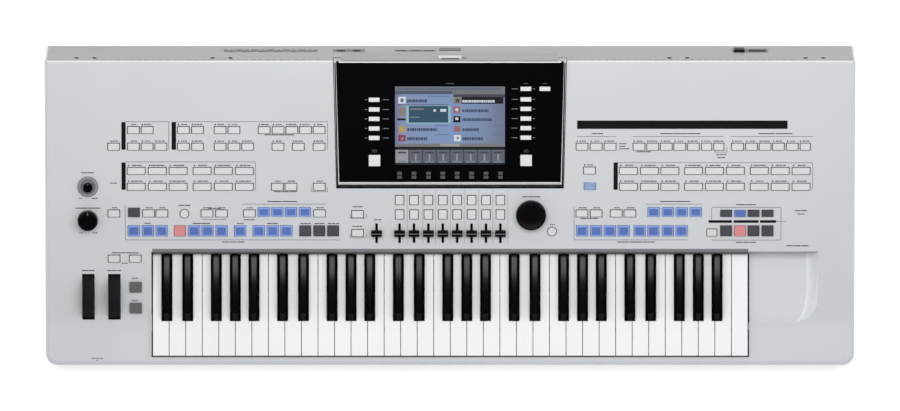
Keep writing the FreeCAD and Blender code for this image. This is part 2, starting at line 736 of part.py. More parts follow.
# Faders: a cap and stem through each slot, and a slide pot with a groove under it
pots = []
fader_v = middle_v(FADER_ROW_PX)
fader_u = [screen_u(FIRST_FADER_PX)] + channel_u
STEM_SINK = "(wall + fader_body_height - flange_lip - play)"
for i, u in enumerate(fader_u, start=1):
    cap = mid_block(f"fader_cap_{i}", "fader_cap_width", "fader_cap_length", "fader_cap_height",
                    (u, fader_v, s.play * 2), PANEL)
    stem = mid_block(f"fader_stem_{i}", "fader_stem_width", "fader_stem_length",
                     f"{STEM_SINK} + fader_cap_height / 2", (u, fader_v, -value(STEM_SINK)), PANEL)
    node(f"fader_{i}", fuse(f"fader_{i}", [cap, stem]))
    holes.append(mid_block(f"fader_hole_{i}", "fader_slot_width", "fader_slot_length", PLATE_CUT,
                           (u, fader_v, HOLE_FOOT), PANEL))
    body = mid_block(f"fader_body_{i}", "fader_body_width", "fader_slot_length + 2 * wall",
                     "fader_body_height", (u, fader_v, -s.wall - s.fader_body_height), PANEL)
    groove = mid_block(f"fader_groove_{i}", "fader_slot_width", "fader_slot_length", "fader_body_height",
                       (u, fader_v, s.flange_lip - s.wall - s.fader_body_height), PANEL)
    pots.append(cut(f"fader_pot_{i}", body, [groove]))


KNOB_TOP_SHARE = 0.93


def turned(name, radius, height, u, v, rise, dimple=False):
    """A knob on a shaft, the hole it passes and the pot that holds its shaft."""
    sink = "(wall + pot_height - flange_lip)"
    head = bind(doc.addObject("Part::Cone", f"{name}_head"),
                Radius1=radius, Radius2=f"{radius} * {KNOB_TOP_SHARE}", Height=height)
    head.Placement = PANEL.multiply(place(u, v, value(rise)))
    shaft = rod(f"{name}_shaft", "shaft_radius", f"{sink} + {rise} + {height} / 2",
                (u, v, -value(sink)), PANEL)
    holes.append(rod(f"{name}_hole", "shaft_radius + play", PLATE_CUT, (u, v, HOLE_FOOT), PANEL))
    pot = rod(f"{name}_pot_case", "pot_radius", "pot_height", (u, v, -s.wall - s.pot_height), PANEL)
    bore = rod(f"{name}_pot_bore", "shaft_radius + running_play", "pot_height",
               (u, v, s.flange_lip - s.running_play - s.wall - s.pot_height), PANEL)
    pots.append(cut(f"{name}_pot", pot, [bore]))
    knob = fuse(f"{name}_knob", [head, shaft])
    if not dimple:
        return knob
    dish = rod(f"{name}_dimple", "dimple_radius", "dimple_sink + overrun",
               (u, v + s.dimple_offset, value(f"{rise} + {height} - dimple_sink")), PANEL)
    return cut(f"{name}_dimpled", knob, [dish])


GAIN_PX = (88.0, 185.9)
VOLUME_PX = (87.8, 218.9)
DIAL_PX = (531.0, 212.9)
WHEELS_PX = (88.1, 114.1)
WHEEL_ROW_PX = 296.2
gain_at = (left_u(GAIN_PX[0]), bank_v(GAIN_PX[1]))
volume_at = (left_u(VOLUME_PX[0]), bank_v(VOLUME_PX[1]))
dial_at = (screen_u(DIAL_PX[0]), middle_v(DIAL_PX[1]))
node("master_volume_knob", turned("volume", "volume_radius", "volume_height", *volume_at, "play"))
node("mic_gain_knob", turned("gain", "gain_radius", "gain_height", *gain_at, "gain_dish_rise"))
node("data_dial", turned("dial", "dial_radius", "dial_height", *dial_at, "play", dimple=True))
node("panel_pots", group("panel_pots", pots))
dish = rod("dish_disc", "gain_dish_radius", "gain_dish_rise", (*gain_at, 0), PANEL)
dish_hole = rod("dish_hole", "gain_radius + play", "gain_dish_rise + 2 * overrun",
                (*gain_at, -s.overrun), PANEL)
node("gain_dish", cut("gain_dish", dish, [dish_hole]))

# Pitch and modulation wheels on axles between plates that hang under the panel
SIDE_PLATE = "wheel_sink + 2 * holder_plate - wall"
WHEEL_SLOT = "2 * sqrt(wheel_radius ^ 2 - (wheel_sink - wall) ^ 2) + 4 * play"
wheel_v = panel_distance(cheek_y(WHEEL_ROW_PX))
holders = []
for name, px in zip(("pitch_wheel", "modulation_wheel"), WHEELS_PX):
    u = cheek_u(px)
    half = value("wheel_width / 2")
    rim = cross_rod(f"{name}_rim", "wheel_radius", "wheel_width", (u - half, wheel_v, -s.wheel_sink), PANEL)
    bore = cross_rod(f"{name}_bore", "axle_radius + running_play", "wheel_width + 2 * overrun",
                     (u - half - s.overrun, wheel_v, -s.wheel_sink), PANEL)
    node(name, cut(name, rim, [bore]))
    holes.append(mid_block(f"{name}_hole", "wheel_width + 2 * play", WHEEL_SLOT, "2 * wheel_sink",
                           (u, wheel_v, -s.wheel_sink), PANEL))
    aside = half + s.play + s.holder_plate / 2
    plates = [
        mid_block(f"{name}_plate_{side}", "holder_plate", "4 * holder_plate", SIDE_PLATE,
                  (u + side * aside, wheel_v, -s.wall - value(SIDE_PLATE)), PANEL)
        for side in (-1, 1)
    ]
    reach = half + s.play + s.holder_plate
    axle = cross_rod(f"{name}_axle", "axle_radius", "wheel_width + 2 * (play + holder_plate)",
                     (u - reach, wheel_v, -s.wheel_sink), PANEL)
    holders.append(fuse(f"{name}_holder", plates + [axle]))
node("wheel_holder", group("wheel_holder", holders))

# Circuit boards on the posts under the left, middle and right banks
BOARD_LEFT_PX = (106.0, 324.8, 122.5, 237.5)
BOARD_MIDDLE_PX = (386.0, 515.0, 190.0, 218.5)
BOARD_RIGHT_PX = (575.6, 814.0, 139.0, 237.5)


def panel_board(name, to_u, to_v, box_px):
    """A board that spans a rectangle of the photograph, under the panel."""
    x0, x1, y0, y1 = box_px
    board = doc.addObject("Part::Box", name)
    board.Length = to_u(x1) - to_u(x0)
    board.Width = to_v(y0) - to_v(y1)
    bind(board, Height="board_thickness")
    board.Placement = PANEL.multiply(place(to_u(x0), to_v(y1), -s.panel_board_drop - s.board_thickness))
    return board


node("panel_boards", group("panel_boards", [
    panel_board("left_board", left_u, bank_v, BOARD_LEFT_PX),
    panel_board("middle_board", screen_u, middle_v, BOARD_MIDDLE_PX),
    panel_board("right_board", right_u, bank_v, BOARD_RIGHT_PX),
]))

# Keys: every key of one pitch name shares a node, and all of them swing on one rod
OCTAVE_WIDTH = f"({OCTAVE_WHITES} * key_pitch)"
TAIL_STEP = f"({OCTAVE_WIDTH} / {OCTAVE_KEYS})"
octave_width = value(OCTAVE_WIDTH)
tail_step = value(TAIL_STEP)
key_bottom = s.key_top - s.key_height
white_back = key_front + s.white_length
neck_end = panel_front + s.key_tuck
pivot_y = white_back + s.pivot_behind
pivot_z = s.key_top - s.pivot_below
sharp_rear = white_back - s.sharp_back
sharp_front = sharp_rear - s.sharp_length
head_end = sharp_front - s.key_gap
HEAD_LENGTH = "(white_length - sharp_back - sharp_length - key_gap)"
NECK_LENGTH = "(sharp_length + sharp_back + 2 * key_gap + key_tuck)"
WHITE_ARM = "(pivot_behind - key_gap - key_tuck + key_skin)"
SHARP_ARM = "(pivot_behind + sharp_back + key_skin)"
WHITE_NAMES = ("c", "d", "e", "f", "g", "a", "b")
WHITE_STEPS = (0, 2, 4, 5, 7, 9, 11)
# Each sharp: the white key on its left, its step in the octave and its shift off the boundary
SHARPS = {
    "c_sharp": (0, 1, -1.0),
    "d_sharp": (1, 3, 0.9),
    "f_sharp": (3, 6, -1.1),
    "g_sharp": (4, 8, 0.0),
    "a_sharp": (5, 10, 0.95),
}
shift_shares = {left: shift for left, _, shift in SHARPS.values()}
keys = {name: [] for name in WHITE_NAMES + tuple(SHARPS)}


def key_tail(name, start, length, step, octave):
    """The arm of a key from under the panel back to its eye on the rod."""
    x = key_left + octave * octave_width + (step + 1 / 2) * tail_step
    arm = block(f"{name}_arm", "tail_width", length, "tail_height",
                (x - s.tail_width / 2, start, pivot_z - s.tail_height / 2))
    eye = cross_rod(f"{name}_eye", "tail_height / 2", "tail_width", (x - s.tail_width / 2, pivot_y, pivot_z))
    bore = cross_rod(f"{name}_bore", "pivot_radius + running_play", "tail_width + 2 * overrun",
                     (x - s.tail_width / 2 - s.overrun, pivot_y, pivot_z))
    return [arm, eye], bore


def white_key(number):
    """A hollow white key: a full-width head, a neck between the sharps and a tail."""
    octave, place_in = divmod(number, OCTAVE_WHITES)
    name = f"white_{number}"
    x = key_left + number * s.key_pitch + s.key_gap / 2
    left_share = shift_shares.get(place_in - 1)
    right_share = shift_shares.get(place_in) if number < white_count - 1 else None
    left_loss = "0"
    right_loss = "0"
    if left_share is not None:
        left_loss = f"(sharp_width / 2 + key_gap / 2 + {left_share} * sharp_shift)"
    if right_share is not None:
        right_loss = f"(sharp_width / 2 + key_gap / 2 - {right_share} * sharp_shift)"
    neck_width = f"(key_pitch - key_gap - {left_loss} - {right_loss})"
    neck_x = x + value(left_loss)
    head = block(f"{name}_head", "key_pitch - key_gap", HEAD_LENGTH, "key_height", (x, key_front, key_bottom))
    neck = block(f"{name}_neck", neck_width, NECK_LENGTH, "key_height", (neck_x, head_end, key_bottom))
    solid, bore = key_tail(name, neck_end - s.key_skin, WHITE_ARM, WHITE_STEPS[place_in], octave)
    under = -s.overrun + key_bottom
    tall = "key_height - key_skin + overrun"
    in_head = block(f"{name}_in_head", "key_pitch - key_gap - 2 * key_skin", f"{HEAD_LENGTH} - 2 * key_skin",
                    tall, (x + s.key_skin, key_front + s.key_skin, under))
    in_neck = block(f"{name}_in_neck", f"{neck_width} - 2 * key_skin", f"{NECK_LENGTH} - 2 * key_skin", tall,
                    (neck_x + s.key_skin, head_end + s.key_skin, under))
    shell_front = cut(f"{name}_front", fuse(f"{name}_top", [head, neck]), [in_head, in_neck])
    whole = fuse(f"{name}_whole", [shell_front] + solid)
    keys[WHITE_NAMES[place_in]].append(cut(name, whole, [bore]))


def sharp_key(name, octave, left, step, shift):
    """A hollow sharp: an upright foot, a top that narrows and slopes at its nose, and a tail."""
    name_in = f"{name}_{octave}"
    x = key_left + octave * octave_width + (left + 1) * s.key_pitch + shift * s.sharp_shift
    foot = mid_block(f"{name_in}_foot", "sharp_width", "sharp_length", "key_height",
                     (x, sharp_front + s.sharp_length / 2, key_bottom))
    top = bind(doc.addObject("Part::Wedge", f"{name_in}_top"),
               Xmin="-sharp_width / 2", Xmax="sharp_width / 2", X2min="-sharp_top_width / 2",
               X2max="sharp_top_width / 2", Ymin="0", Ymax="sharp_rise", Zmin="0", Zmax="sharp_length",
               Z2min="0", Z2max="sharp_length - sharp_nose")
    top.Placement = place(x, sharp_rear, s.key_top, RIGHT, 90)
    middle = sharp_front + s.sharp_length / 2
    hollow_in = mid_block(f"{name_in}_in", "sharp_width - 2 * key_skin", "sharp_length - 2 * key_skin",
                          "key_height + overrun", (x, middle, key_bottom - s.overrun))
    solid, bore = key_tail(name_in, sharp_rear - s.key_skin, SHARP_ARM, step, octave)
    shell_front = cut(f"{name_in}_front", fuse(f"{name_in}_cap", [foot, top]), [hollow_in])
    whole = fuse(f"{name_in}_whole", [shell_front] + solid)
    keys[name].append(cut(name_in, whole, [bore]))


for number in range(white_count):
    white_key(number)
for octave in range(int(s.octave_count)):
    for name, (left, step, shift) in SHARPS.items():
        sharp_key(name, octave, left, step, shift)
for name, solids in keys.items():
    node(f"key_{name}", group(f"keys_{name}", solids))

# Key bed: a plate on rails, with guide pins in the keys and ribs that carry the rod
bed_top = s.key_top - s.bed_below
bed_back = pivot_y + s.tail_height
BED_LENGTH = "(white_length + pivot_behind + tail_height - 2 * key_skin)"
RAIL = "4 * screw_radius"
RAIL_HEIGHT = "(key_top - bed_below - bed_plate - foot_height - wall)"
SCREW_SHARES = (-1 / 3, 0, 1 / 3)
front_rail_y = key_front + s.wall + 3 * s.screw_radius
rear_rail_y = bed_back - 3 * s.screw_radius
screw_places = [(share * case_width, y) for y in (front_rail_y, rear_rail_y) for share in SCREW_SHARES]
bed = [block("bed_plate", KEYBOARD_WIDTH, BED_LENGTH, "bed_plate",
             (key_left, key_front + 2 * s.key_skin, bed_top - s.bed_plate))]
for name, y in (("front_rail", front_rail_y), ("rear_rail", rear_rail_y)):
    bar = block(name, KEYBOARD_WIDTH, RAIL, RAIL_HEIGHT, (key_left, y - value(RAIL) / 2, floor_top))
    bed.append(cut(f"{name}_bored", bar, [
        rod(f"{name}_hole_{i}", "screw_radius + running_play", "screw_length + overrun",
            (share * case_width, y, floor_top - s.overrun)) for i, share in enumerate(SCREW_SHARES)
    ]))
head_middle = key_front + value(HEAD_LENGTH) / 2
guide_places = [(key_left + (i + 1 / 2) * s.key_pitch, head_middle) for i in range(white_count)]
for octave in range(int(s.octave_count)):
    octave_left = key_left + octave * octave_width
    for left, _, shift in SHARPS.values():
        sharp_middle = octave_left + (left + 1) * s.key_pitch + shift * s.sharp_shift
        guide_places.append((sharp_middle, sharp_front + s.key_height))
for i, (x, y) in enumerate(guide_places):
    bed.append(mid_block(f"guide_{i}", "guide_width", "guide_length", "guide_rise", (x, y, bed_top)))
rib_places = [key_left + octave * octave_width for octave in range(int(s.octave_count) + 1)]
rib_places.append(rib_places[-1] + tail_step)
RIB_HEIGHT = "(bed_below - pivot_below + tail_height / 2)"
for i, x in enumerate(rib_places):
    rib = mid_block(f"rib_{i}", "bed_rib", "tail_height", RIB_HEIGHT, (x, pivot_y, bed_top))
    bed.append(cut(f"rib_{i}_bored", rib, [
        cross_rod(f"rib_hole_{i}", "pivot_radius + running_play", "bed_rib + 2 * overrun",
                  (x - s.bed_rib / 2 - s.overrun, pivot_y, pivot_z))
    ]))
rod_start = rib_places[0] - s.bed_rib
ROD_LENGTH = f"octave_count * {OCTAVE_WIDTH} + {TAIL_STEP} + 2 * bed_rib"
node("key_pivot_rod", cross_rod("key_pivot_rod", "pivot_radius", ROD_LENGTH, (rod_start, pivot_y, pivot_z)))
node("key_chassis", group("key_chassis", bed))

contact_y = sharp_front + s.key_height * 2
contact_board = block("contact_board", KEYBOARD_WIDTH, "contact_board_length", "board_thickness",
                      (key_left, contact_y, bed_top))
CONTACT_SHARES = (0.15, 0.65)
contacts = [
    block(f"contact_{i}", KEYBOARD_WIDTH, "contact_length", "contact_height",
          (key_left, contact_y + share * s.contact_board_length, bed_top + s.board_thickness))
    for i, share in enumerate(CONTACT_SHARES)
]
node("key_contact_board", group("key_contact_board", [contact_board] + contacts))

stop_felt = block("stop_felt", KEYBOARD_WIDTH, "felt_length", "felt_height",
                  (key_left, key_front + value(HEAD_LENGTH) - 2 * s.felt_length, bed_top))
back_felt = block("back_felt", KEYBOARD_WIDTH, "back_felt_length", "back_felt_height",
                  (key_left, panel_distance(panel_front) + s.play, -s.wall - s.back_felt_height), PANEL)
node("key_felts", group("key_felts", [stop_felt, back_felt]))

# Display: a hollow cover on two pins, with a trim, a bezel, a screen and its keys
COVER_TOP = "(display_proud - bezel_thickness)"
COVER_HEIGHT = f"(display_thickness + {COVER_TOP})"
cover_outer = display_plan("cover_outer", "0", "0", COVER_HEIGHT, "-display_thickness")
cover_inner = display_plan("cover_inner", "display_wall", "display_wall", COVER_HEIGHT,
                           "display_floor - display_thickness")
lip_body, _ = prism("back_lip", "YZ_Plane", (
    ("display_depth - display_wall / 2", "-display_thickness"),
    ("display_depth + back_lip_reach", "-display_thickness"),
    ("display_depth", COVER_TOP),
    ("display_depth - display_wall / 2", COVER_TOP),
), "back_lip_width", symmetric=True)
lip_body.Placement = DISPLAY
hinge_half = s.display_front_width / 2
PIN_LENGTH = "hinge_pin_length + display_wall / 2"
pin_starts = (-hinge_half - s.hinge_pin_length, hinge_half - s.display_wall / 2)
hinge_at = (s.hinge_in, -s.hinge_below)
pins = [cross_rod(f"hinge_pin_{i}", "hinge_radius", PIN_LENGTH, (u, *hinge_at), DISPLAY)
        for i, u in enumerate(pin_starts)]
cover_shell = cut("cover_shell", cover_outer, [cover_inner])
cover_whole = fuse("cover_whole", [cover_shell, lip_body] + pins)
lever_v = s.display_depth + s.play
lever_n = -s.display_thickness / 2 - s.play
lever_slot = block("lever_slot", "lever_width + lever_travel + 2 * play", "back_lip_reach + overrun",
                   "lever_height + 2 * play",
                   (-s.lever_width / 2 - s.play, lever_v - s.play, lever_n - s.play), DISPLAY)
node("display_cover", cut("display_cover", cover_whole, [lever_slot]))
node("lock_lever", mid_block("lock_lever", "lever_width", "lever_depth", "lever_height",
                             (0, lever_v + s.lever_depth / 2, lever_n), DISPLAY))

trim_outer = display_plan("trim_outer", "0", "0", "bezel_thickness + gain_dish_rise / 2", COVER_TOP)
trim_inner = display_plan("trim_inner", "trim_width", "-overrun", "bezel_thickness + 2 * overrun",
                          f"{COVER_TOP} - overrun")
node("display_trim", cut("display_trim", trim_outer, [trim_inner]))

SCREEN_PX = (450.0, 125.25)
SOFT_LEFT_PX = (374.3, (99.6, 109.3, 118.7, 128.3, 137.7))
SOFT_RIGHT_PX = (525.7, (88.7, 99.2, 108.7, 118.4, 127.9, 137.4))
SOFT_EXTRA_PX = (544.7, 88.7)
SOFT_SQUARES_PX = ((374.6, 160.3), (526.0, 160.2))
soft_places = [(screen_u(x), screen_v(y)) for x, rows in (SOFT_LEFT_PX, SOFT_RIGHT_PX) for y in rows]
soft_places.append((screen_u(SOFT_EXTRA_PX[0]), screen_v(SOFT_EXTRA_PX[1])))
square_places = [(screen_u(x), screen_v(y)) for x, y in SOFT_SQUARES_PX]
screen_at = (screen_u(SCREEN_PX[0]), screen_v(SCREEN_PX[1]))
bezel_plate = display_plan("bezel_plate", "trim_width + fit", "0", "bezel_thickness", COVER_TOP)
bezel_cut = value(COVER_TOP) - s.overrun
BEZEL_CUT = "bezel_thickness + 2 * overrun"
bezel_holes = [mid_block("screen_window", "screen_width", "screen_height", BEZEL_CUT,
                         (*screen_at, bezel_cut), PANEL)]
soft_keys = []
SOFT_SINK = "(flange_thickness + play)"
soft_foot = value(f"{COVER_TOP} - {SOFT_SINK}")
soft_sizes = [("soft_key_width", "soft_key_depth", at) for at in soft_places]
soft_sizes += [("soft_square", "soft_square", at) for at in square_places]
for i, (width, depth, at) in enumerate(soft_sizes):
    bezel_holes.append(mid_block(f"soft_hole_{i}", f"{width} + 2 * play", f"{depth} + 2 * play", BEZEL_CUT,
                                 (*at, bezel_cut), PANEL))
    soft_cap = mid_block(f"soft_cap_{i}", width, depth, f"bezel_thickness + {SOFT_SINK} + soft_key_proud",
                         (*at, soft_foot), PANEL)
    soft_lip = mid_block(f"soft_lip_{i}", f"{width} + 2 * flange_lip", f"{depth} + 2 * flange_lip",
                         "flange_thickness", (*at, soft_foot), PANEL)
    soft_keys.append(fuse(f"soft_key_{i}", [soft_cap, soft_lip]))
node("display_bezel", cut("display_bezel", bezel_plate, bezel_holes))
node("display_keys", group("display_keys", soft_keys))

glass = mid_block("screen_glass", "screen_width + 2 * screen_border", "screen_height + 2 * screen_border",
                  "screen_thickness", (*screen_at, value(f"{COVER_TOP} - screen_thickness")), PANEL)
screen_board_foot = value(f"{COVER_TOP} - screen_thickness - board_thickness")
screen_board = mid_block(
    "screen_board", "display_front_width - 4 * display_wall", "display_depth - 5 * display_wall",
    "board_thickness", (0, display_front + s.display_depth / 2, screen_board_foot), PANEL)
node("lcd_module", group("lcd_module", [glass, screen_board]))

# Hinge blocks outside the well's walls, and the way the pins pass through those walls
HINGE_HEIGHT = "3 * hinge_below - wall"
block_start = value("display_widest / 2 + display_side_gap + wall + fit")
hinge_blocks = []
for i, u in enumerate((-block_start - s.hinge_block, block_start)):
    plain = block(f"hinge_plain_{i}", "hinge_block", "2 * hinge_block", HINGE_HEIGHT,
                  (u, s.hinge_in - s.hinge_block, -s.wall - value(HINGE_HEIGHT)), DISPLAY)
    pin_bore = cross_rod(f"hinge_bore_{i}", "hinge_radius + running_play", "hinge_block + 2 * overrun",
                         (u - s.overrun, *hinge_at), DISPLAY)
    hinge_blocks.append(cut(f"hinge_block_{i}", plain, [pin_bore]))
node("display_hinges", group("display_hinges", hinge_blocks))
for i, u in enumerate((-block_start, hinge_half)):
    holes.append(cross_rod(f"hinge_way_{i}", "2 * hinge_radius", "pin_way", (u, *hinge_at), DISPLAY))

# Rear panel, its sockets, and the front socket and the tray's port
FACING = FreeCAD.Rotation(UP, 180).multiply(FreeCAD.Rotation(RIGHT, 90))
FRONT = FreeCAD.Placement(FreeCAD.Vector(0, front, 0), FACING)
TRAY_WALL = FreeCAD.Placement(FreeCAD.Vector(0, panel_front, 0), FACING)
rear_windows = []
jacks = []
ports = []


def window(name, width, height, u, v, frame):
    """The opening in a panel that a row of flanges fills."""
    return mid_block(name, f"{width} + 2 * fit", f"{height} + 2 * fit", PLATE_CUT, (u, v, -s.overrun), frame)


def socket(name, body_size, flange_size, u, v, frame):
    """A socket's case: a flange in the panel's window and a body behind it."""
    width, height, depth = body_size
    flange = mid_block(f"{name}_flange", *flange_size, "wall", (u, v, 0), frame)
    body = mid_block(f"{name}_body", width, height, depth, (u, v, 0), frame)
    return fuse(f"{name}_case", [flange, body])


JACK_BODY = ("jack_body", "jack_body", "jack_depth")
JACK_FLANGE = ("(jack_pitch - 2 * fit)", "jack_flange")


def jack(name, u, v, frame):
    """A headphone-size jack with its blind bore."""
    case = socket(name, JACK_BODY, JACK_FLANGE, u, v, frame)
    bore = rod(f"{name}_bore", "jack_bore_radius", "jack_depth - wall + overrun", (u, v, -s.overrun), frame)
    jacks.append(cut(name, case, [bore]))


def port(name, width, height, flange_size, u, v, frame):
    """A data port: a shell with a recess and a tongue in it."""
    case = socket(name, (width, height, "port_depth"), flange_size, u, v, frame)
    recess = mid_block(f"{name}_recess", f"{width} - 2 * port_rim", f"{height} - 2 * port_rim",
                       "port_depth - wall + overrun", (u, v, -s.overrun), frame)
    tongue = mid_block(f"{name}_tongue", f"{width} - 6 * port_rim", "port_rim", "port_depth - wall",
                       (u, v, s.wall / 2), frame)
    ports.append(fuse(name, [cut(f"{name}_shell", case, [recess]), tongue]))


JACK_COUNT = 6
DIN_COUNT = 2
PORT_COUNT = 3
JACK_START_SHARE = -0.27
DIN_START_SHARE = -0.135
PORT_START_SHARE = -0.06
INLET_SHARE = 0.38
PHONES_PX = 96.5
STICK_PX = 793.0
jack_start = JACK_START_SHARE * case_width
for i in range(JACK_COUNT):
    jack(f"rear_jack_{i + 1}", jack_start + i * s.jack_pitch, s.jack_rise, REAR)
rear_windows.append(window("jack_window", f"({JACK_COUNT} * jack_pitch - 2 * fit)", "jack_flange",
                           jack_start + (JACK_COUNT - 1) / 2 * s.jack_pitch, s.jack_rise, REAR))
phones_at = (-left_u(PHONES_PX), (s.split_height + s.front_height) / 2)
jack("phones_jack", *phones_at, FRONT)
phones_window = [window("phones_window", *JACK_FLANGE, *phones_at, FRONT)]
node("jack_sockets", group("jack_sockets", jacks))

DIN_FLANGE = ("din_flange", "din_flange")
DIN_PITCH = "(din_flange + 2 * fit)"
din_start = DIN_START_SHARE * case_width
for i in range(DIN_COUNT):
    at = (din_start + i * value(DIN_PITCH), s.jack_rise)
    case = socket(f"din_{i}", (*DIN_FLANGE, "din_depth + wall"), DIN_FLANGE, *at, REAR)
    bore = rod(f"din_bore_{i}", "din_bore_radius", "din_depth + overrun", (*at, -s.overrun), REAR)
    ports.append(cut(f"din_socket_{i}", case, [bore]))
rear_windows.append(window("din_window", f"({DIN_COUNT} * {DIN_PITCH} - 2 * fit)", "din_flange",
                           din_start + (DIN_COUNT - 1) / 2 * value(DIN_PITCH), s.jack_rise, REAR))

PORT_FLANGE = ("(port_width + 2 * port_rim)", "(port_height + 4 * port_rim)")
PORT_PITCH = f"({PORT_FLANGE[0]} + 2 * fit)"
port_start = PORT_START_SHARE * case_width
for i in range(PORT_COUNT):
    at = (port_start + i * value(PORT_PITCH), s.jack_rise)
    port(f"port_{i}", "port_width", "port_height", PORT_FLANGE, *at, REAR)
rear_windows.append(window("port_window", f"({PORT_COUNT} * {PORT_PITCH} - 2 * fit)", PORT_FLANGE[1],
                           port_start + (PORT_COUNT - 1) / 2 * value(PORT_PITCH), s.jack_rise, REAR))
STICK_FLANGE = ("stick_port_width", "stick_port_height")
stick_at = (-right_u(STICK_PX), s.front_height - s.tray_floor_drop + s.stick_port_height * 4 / 3)
port("stick_port", *STICK_FLANGE, STICK_FLANGE, *stick_at, TRAY_WALL)
stick_window = [window("stick_window", *STICK_FLANGE, *stick_at, TRAY_WALL)]

# Mains inlet and power switch side by side in one window
ROCKER_FLANGE = ("(rocker_width + 4 * port_rim)", "(rocker_height + 6 * port_rim)")
inlet_at = (INLET_SHARE * case_width, s.jack_rise)
INLET_BODY = ("inlet_width", "inlet_height", "inlet_depth")
inlet_case = socket("inlet", INLET_BODY, ("inlet_width", ROCKER_FLANGE[1]), *inlet_at, REAR)
inlet_recess = mid_block("inlet_recess", "inlet_width - 2 * inlet_rim", "inlet_height - 2 * inlet_rim",
                         "inlet_depth - inlet_rim + overrun", (*inlet_at, -s.overrun), REAR)
BLADE_SHARES = (-0.25, 0, 0.25)
blade_sink = s.inlet_depth - s.inlet_rim - s.blade_length
blades = [
    mid_block(f"blade_{i}", "blade_width", "2 * blade_width", "blade_length + inlet_rim / 2",
              (inlet_at[0] + share * s.inlet_width, inlet_at[1], blade_sink), REAR)
    for i, share in enumerate(BLADE_SHARES)
]
ports.append(fuse("inlet_socket", [cut("inlet_shell", inlet_case, [inlet_recess])] + blades))

rocker_at = (inlet_at[0] - value(f"inlet_width / 2 + 2 * fit + {ROCKER_FLANGE[0]} / 2"), s.jack_rise)
rocker_case = socket("rocker", (*ROCKER_FLANGE, "rocker_depth"), ROCKER_FLANGE, *rocker_at, REAR)
rocker_room = mid_block("rocker_room", "rocker_width + 2 * play", "rocker_height + 2 * port_rim",
                        "rocker_depth - port_rim + overrun", (*rocker_at, -s.overrun), REAR)
ROCKER_PIN = "(rocker_width + 2 * (play + port_rim))"
pin_end = rocker_at[0] - value(ROCKER_PIN) / 2
rocker_pin = cross_rod("rocker_pin", "rocker_pin_radius", ROCKER_PIN,
                       (pin_end, rocker_at[1], s.rocker_pin_sink), REAR)
rocker_bore = cross_rod("rocker_bore", "rocker_pin_radius + running_play", f"{ROCKER_PIN} + 2 * running_play",
                        (pin_end - s.running_play, rocker_at[1], s.rocker_pin_sink), REAR)
ports.append(cut("rocker_housing", rocker_case, [rocker_room, rocker_bore]))
node("data_sockets", group("data_sockets", ports))
rocker_block = mid_block("rocker_block", "rocker_width", "rocker_height - 2 * port_rim",
                         "rocker_depth / 2 + rocker_proud", (*rocker_at, -s.rocker_proud), REAR)
node("power_switch", fuse("power_switch", [rocker_block, rocker_pin]))
power_width = f"(inlet_width + 2 * fit + {ROCKER_FLANGE[0]})"
power_middle = inlet_at[0] + (s.inlet_width - value(power_width)) / 2
rear_windows.append(window("power_window", power_width, ROCKER_FLANGE[1], power_middle, s.jack_rise, REAR))

BRACKET_PX = (85.9, 221.9, 678.3, 814.2)
bracket_v = rear_length - s.bracket_below_top
bracket_places = [
    ((left_u(x) if x < DISPLAY_LEFT_PX else right_u(x)) + side * s.bracket_pair_pitch / 2, bracket_v)
    for x in BRACKET_PX for side in (-1, 1)
]
VENT_RANGES_PX = ((97.0, 330.0), (571.0, 803.0))
vent_v = rear_length - s.vent_below_top - s.wall
vents = []
for (start_px, end_px), to_u in zip(VENT_RANGES_PX, (left_u, right_u)):
    count = int((to_u(end_px) - to_u(start_px)) / s.vent_pitch)
    vents += [mid_block(f"vent_{start_px:.0f}_{i}", "vent_width", "vent_height", PLATE_CUT,
                        (to_u(start_px) + i * s.vent_pitch, vent_v, -s.overrun), REAR) for i in range(count)]
PLATE_FOOT = "(rear_seam + wall * rear_lean / (case_height - split_height))"
rear_plate = block("rear_plate", f"{CASE_WIDTH} - 2 * wall - 2 * fit",
                   f"{REAR_LENGTH} - wall - fit - {PLATE_FOOT}", "wall",
                   (left_side + s.wall + s.fit, value(PLATE_FOOT), 0), REAR)
bosses = [rod(f"bracket_boss_{i}", "bracket_boss_radius", "wall + bracket_boss_length", (u, v, 0), REAR)
          for i, (u, v) in enumerate(bracket_places)]
bracket_holes = [rod(f"bracket_hole_{i}", "bracket_hole_radius", "wall + bracket_boss_length + 2 * overrun",
                     (u, v, -s.overrun), REAR) for i, (u, v) in enumerate(bracket_places)]
rear_notched = cut("rear_notched", fuse("rear_bossed", [rear_plate] + bosses), [well])
node("rear_panel", cut("rear_panel", rear_notched, rear_windows + bracket_holes + vents))

# Top shell: the outer skin less the hollow, the well, the tray, the key slot and every control's hole
shell = shell_body
for i, gone in enumerate((hollow, well, tray_pocket, key_slot, rear_slab)):
    shell = cut(f"shell_{i}", shell, [gone])
node("top_panel", cut("top_panel", shell, holes + phones_window + stick_window))

# Floor tray with standoffs for the main board, and what is fixed to it
lower_outer, lower_pad = prism("lower_outer", "XY_Plane", (
    (f"-{CASE_WIDTH} / 2", "-case_depth / 2"), (f"{CASE_WIDTH} / 2", "-case_depth / 2"),
    (f"{CASE_WIDTH} / 2", "case_depth / 2"), (f"-{CASE_WIDTH} / 2", "case_depth / 2"),
), "split_height - foot_height")
round_edges(lower_outer, lower_pad, "corner_radius", upright_front)
lower_outer.Placement = place(0, 0, s.foot_height)
IN_WIDTH = f"({CASE_WIDTH} / 2 - wall)"
IN_DEPTH = "(case_depth / 2 - wall)"
lower_inner, inner_pad = prism("lower_inner", "XY_Plane", (
    (f"-{IN_WIDTH}", f"-{IN_DEPTH}"), (IN_WIDTH, f"-{IN_DEPTH}"),
    (IN_WIDTH, IN_DEPTH), (f"-{IN_WIDTH}", IN_DEPTH),
), "split_height - foot_height")
round_edges(lower_inner, inner_pad, "corner_radius - wall", upright_front)
lower_inner.Placement = place(0, 0, floor_top)

